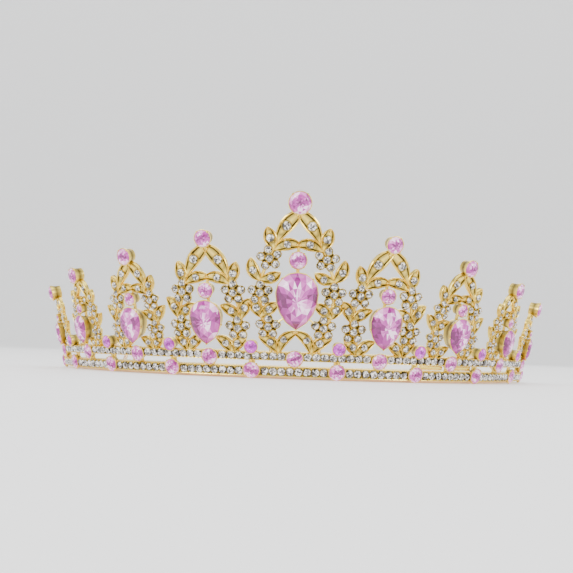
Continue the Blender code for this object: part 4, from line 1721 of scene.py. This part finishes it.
@dataclass
class Studio:
    """The pale ground that sweeps up behind the crown, soft lights and the camera."""

    cone: Cone
    focal_pixels: float = 1185.0
    picture_pixels: float = 573.0
    sensor_width: float = 36.0
    near: float = 0.002
    distance: float = 0.320
    eye_height: float = 8.0 * MM
    aim_height: float = 25.0 * MM
    sideways_pixels: float = 10.5
    roll: float = math.radians(2.0)
    light_target: Place = (0.0, 0.0, 0.02)
    air_colour: Colour = (0.95, 0.97, 1.0)
    air_strength: float = 0.42
    ground_start: float = 0.3
    ground_reach: float = 1.6
    ground_bend: float = 0.8
    ground_wall: float = 2.4
    ground_sides: int = 96
    ground_steps: int = 25
    ground_smooth: float = math.radians(60.0)

    SOFTBOXES = (
        ("softbox_above", (0.0, -0.15, 0.90), 0.80, 5.0),
        ("softbox_left", (-0.60, -0.65, 0.40), 0.40, 5.5),
        ("softbox_right", (0.70, -0.50, 0.28), 0.30, 3.4),
        ("softbox_behind", (0.1, 0.75, 0.55), 0.50, 2.0),
    )

    def ground(self) -> None:
        """Ground: a disc, then a quarter circle up and a round wall, turned about the vertical."""
        bend = np.linspace(0, math.pi / 2, self.ground_steps)
        curve = self.ground_reach + self.ground_bend * np.sin(bend)
        reach = np.concatenate([[self.ground_start], curve, curve[-1:]])[:, None]
        up = np.concatenate([[0.0], self.ground_bend * (1 - np.cos(bend)), [self.ground_wall]])[:, None]
        angle = np.arange(self.ground_sides) * FULL_TURN / self.ground_sides
        parts = np.broadcast_arrays(reach * np.cos(angle), reach * np.sin(angle), up)
        points = np.stack(parts, axis=-1)
        faces = (grid_faces(len(reach), self.ground_sides)[:, ::-1], np.arange(self.ground_sides)[None])
        casting = Casting(Domain.POINT)
        casting.add(points, faces, np.zeros(points.shape[:2]))
        made = casting.piece("ground", GROUND.material(), self.ground_smooth)

    def lights(self) -> None:
        """A wide softbox above, a key from the left, a fill from the right, one behind, and the air."""
        target = Vector(self.light_target)
        for name, place, size, power in self.SOFTBOXES:
            light = bpy.data.lights.new(name, "AREA")
            light.energy = power
            light.size = size
            made = bpy.data.objects.new(name, light)
            made.location = place
            made.rotation_euler = (target - Vector(place)).to_track_quat("-Z", "Y").to_euler()
            bpy.context.scene.collection.objects.link(made)
        world = bpy.data.worlds.new("studio_air")
        bpy.context.scene.world = world
        world.use_nodes = True
        air = world.node_tree.nodes["Background"].inputs
        air["Color"].default_value = (*self.air_colour, 1.0)
        air["Strength"].default_value = self.air_strength

    def camera(self) -> None:
        """Camera in front of the crown, just above the ground, with the photograph's lens and roll.

        It looks from its place to the aim. Its right-hand axis is level x cos(roll) + upright x
        sin(roll), and its up axis stands square to that and to the look.
        """
        data = bpy.data.cameras.new("camera")
        data.sensor_width = self.sensor_width
        data.lens = self.sensor_width * self.focal_pixels / self.picture_pixels
        data.clip_start = self.near
        made = bpy.data.objects.new("camera", data)
        bpy.context.scene.collection.objects.link(made)
        front = self.cone.axis_y - self.cone.rim_radius
        side = -self.sideways_pixels / self.focal_pixels * self.distance
        place = Vector((side, front - self.distance, self.eye_height))
        look = (Vector((side, front, self.aim_height)) - place).normalized()
        level = look.cross(Vector((0, 0, 1))).normalized()
        right = level * math.cos(self.roll) + level.cross(look) * math.sin(self.roll)
        matrix = Matrix((right, right.cross(look), -look)).transposed().to_4x4()
        matrix.translation = place
        made.matrix_world = matrix
        bpy.context.scene.camera = made

    def build(self) -> None:
        """Ground, lights and camera."""
        self.ground()
        self.lights()
        self.camera()


def dress(piece: bpy.types.Object, nodes: Sequence[str]) -> None:
    """Let a piece ride on the crown and stand for CAD nodes.

    Args:
        piece: The piece.
        nodes: Names of the CAD nodes that it stands for.
    """
    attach(piece, "root")
    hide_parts(*nodes)
    LOG.info("%s: %d faces, stands for %s", piece.name, len(piece.data.polygons), ", ".join(nodes))


def main() -> None:
    """Build the crown's pieces in order, dress them and set up the studio.

    The cone's axis lies behind the wire's front by the ring's radius and half the wire's thickness.
    """
    logging.basicConfig(level=logging.INFO, format="%(name)s: %(message)s")
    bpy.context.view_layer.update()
    wire_reach = HeadWire.ring + HeadWire.thickness / 2
    cone = Cone(axis_y=float(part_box("head_wire")[0][1]) + wire_reach)
    plan = Plan()
    rng = np.random.default_rng(SEED)
    setters = {name: Setter(cone, Casting(Domain.POINT), Casting(Domain.FACE), rng)
               for name in ("bands", "medallions", "cups")}
    sweepers = {name: Sweeper(cone, setter.gilt) for name, setter in setters.items()}
    medallions = Medallions(cone, plan, setters["medallions"], sweepers["medallions"])
    stones = MainStones(cone, plan, setters["cups"], sweepers["cups"], medallions)
    wire = HeadWire(cone, plan, sweepers["bands"])
    pink, violet, gilt, clear = (finish.material() for finish in (PINK, VIOLET, GILT, CLEAR))
    Bands(cone, plan, setters["bands"], sweepers["bands"]).build()
    medallions.build()
    for node, (piece, slot) in stones.build(pink, violet).items():
        dress(piece, [node])
    dress(stones.band_stones(pink), ["crown_frame"])
    wire.clips()
    for name, setter in setters.items():
        dress(setter.gilt.piece(f"gilt_{name}", gilt, GILT_SMOOTH), ["crown_frame"])
        if setter.clear.count:
            piece = setter.clear.piece(f"clear_stones_{name}", clear, None)
            dress(piece, ["crown_frame"])
    dress(wire.build(ROSE_GILT.material()), ["head_wire"])
    Studio(cone).build()


if __name__ == "__main__":
    main()
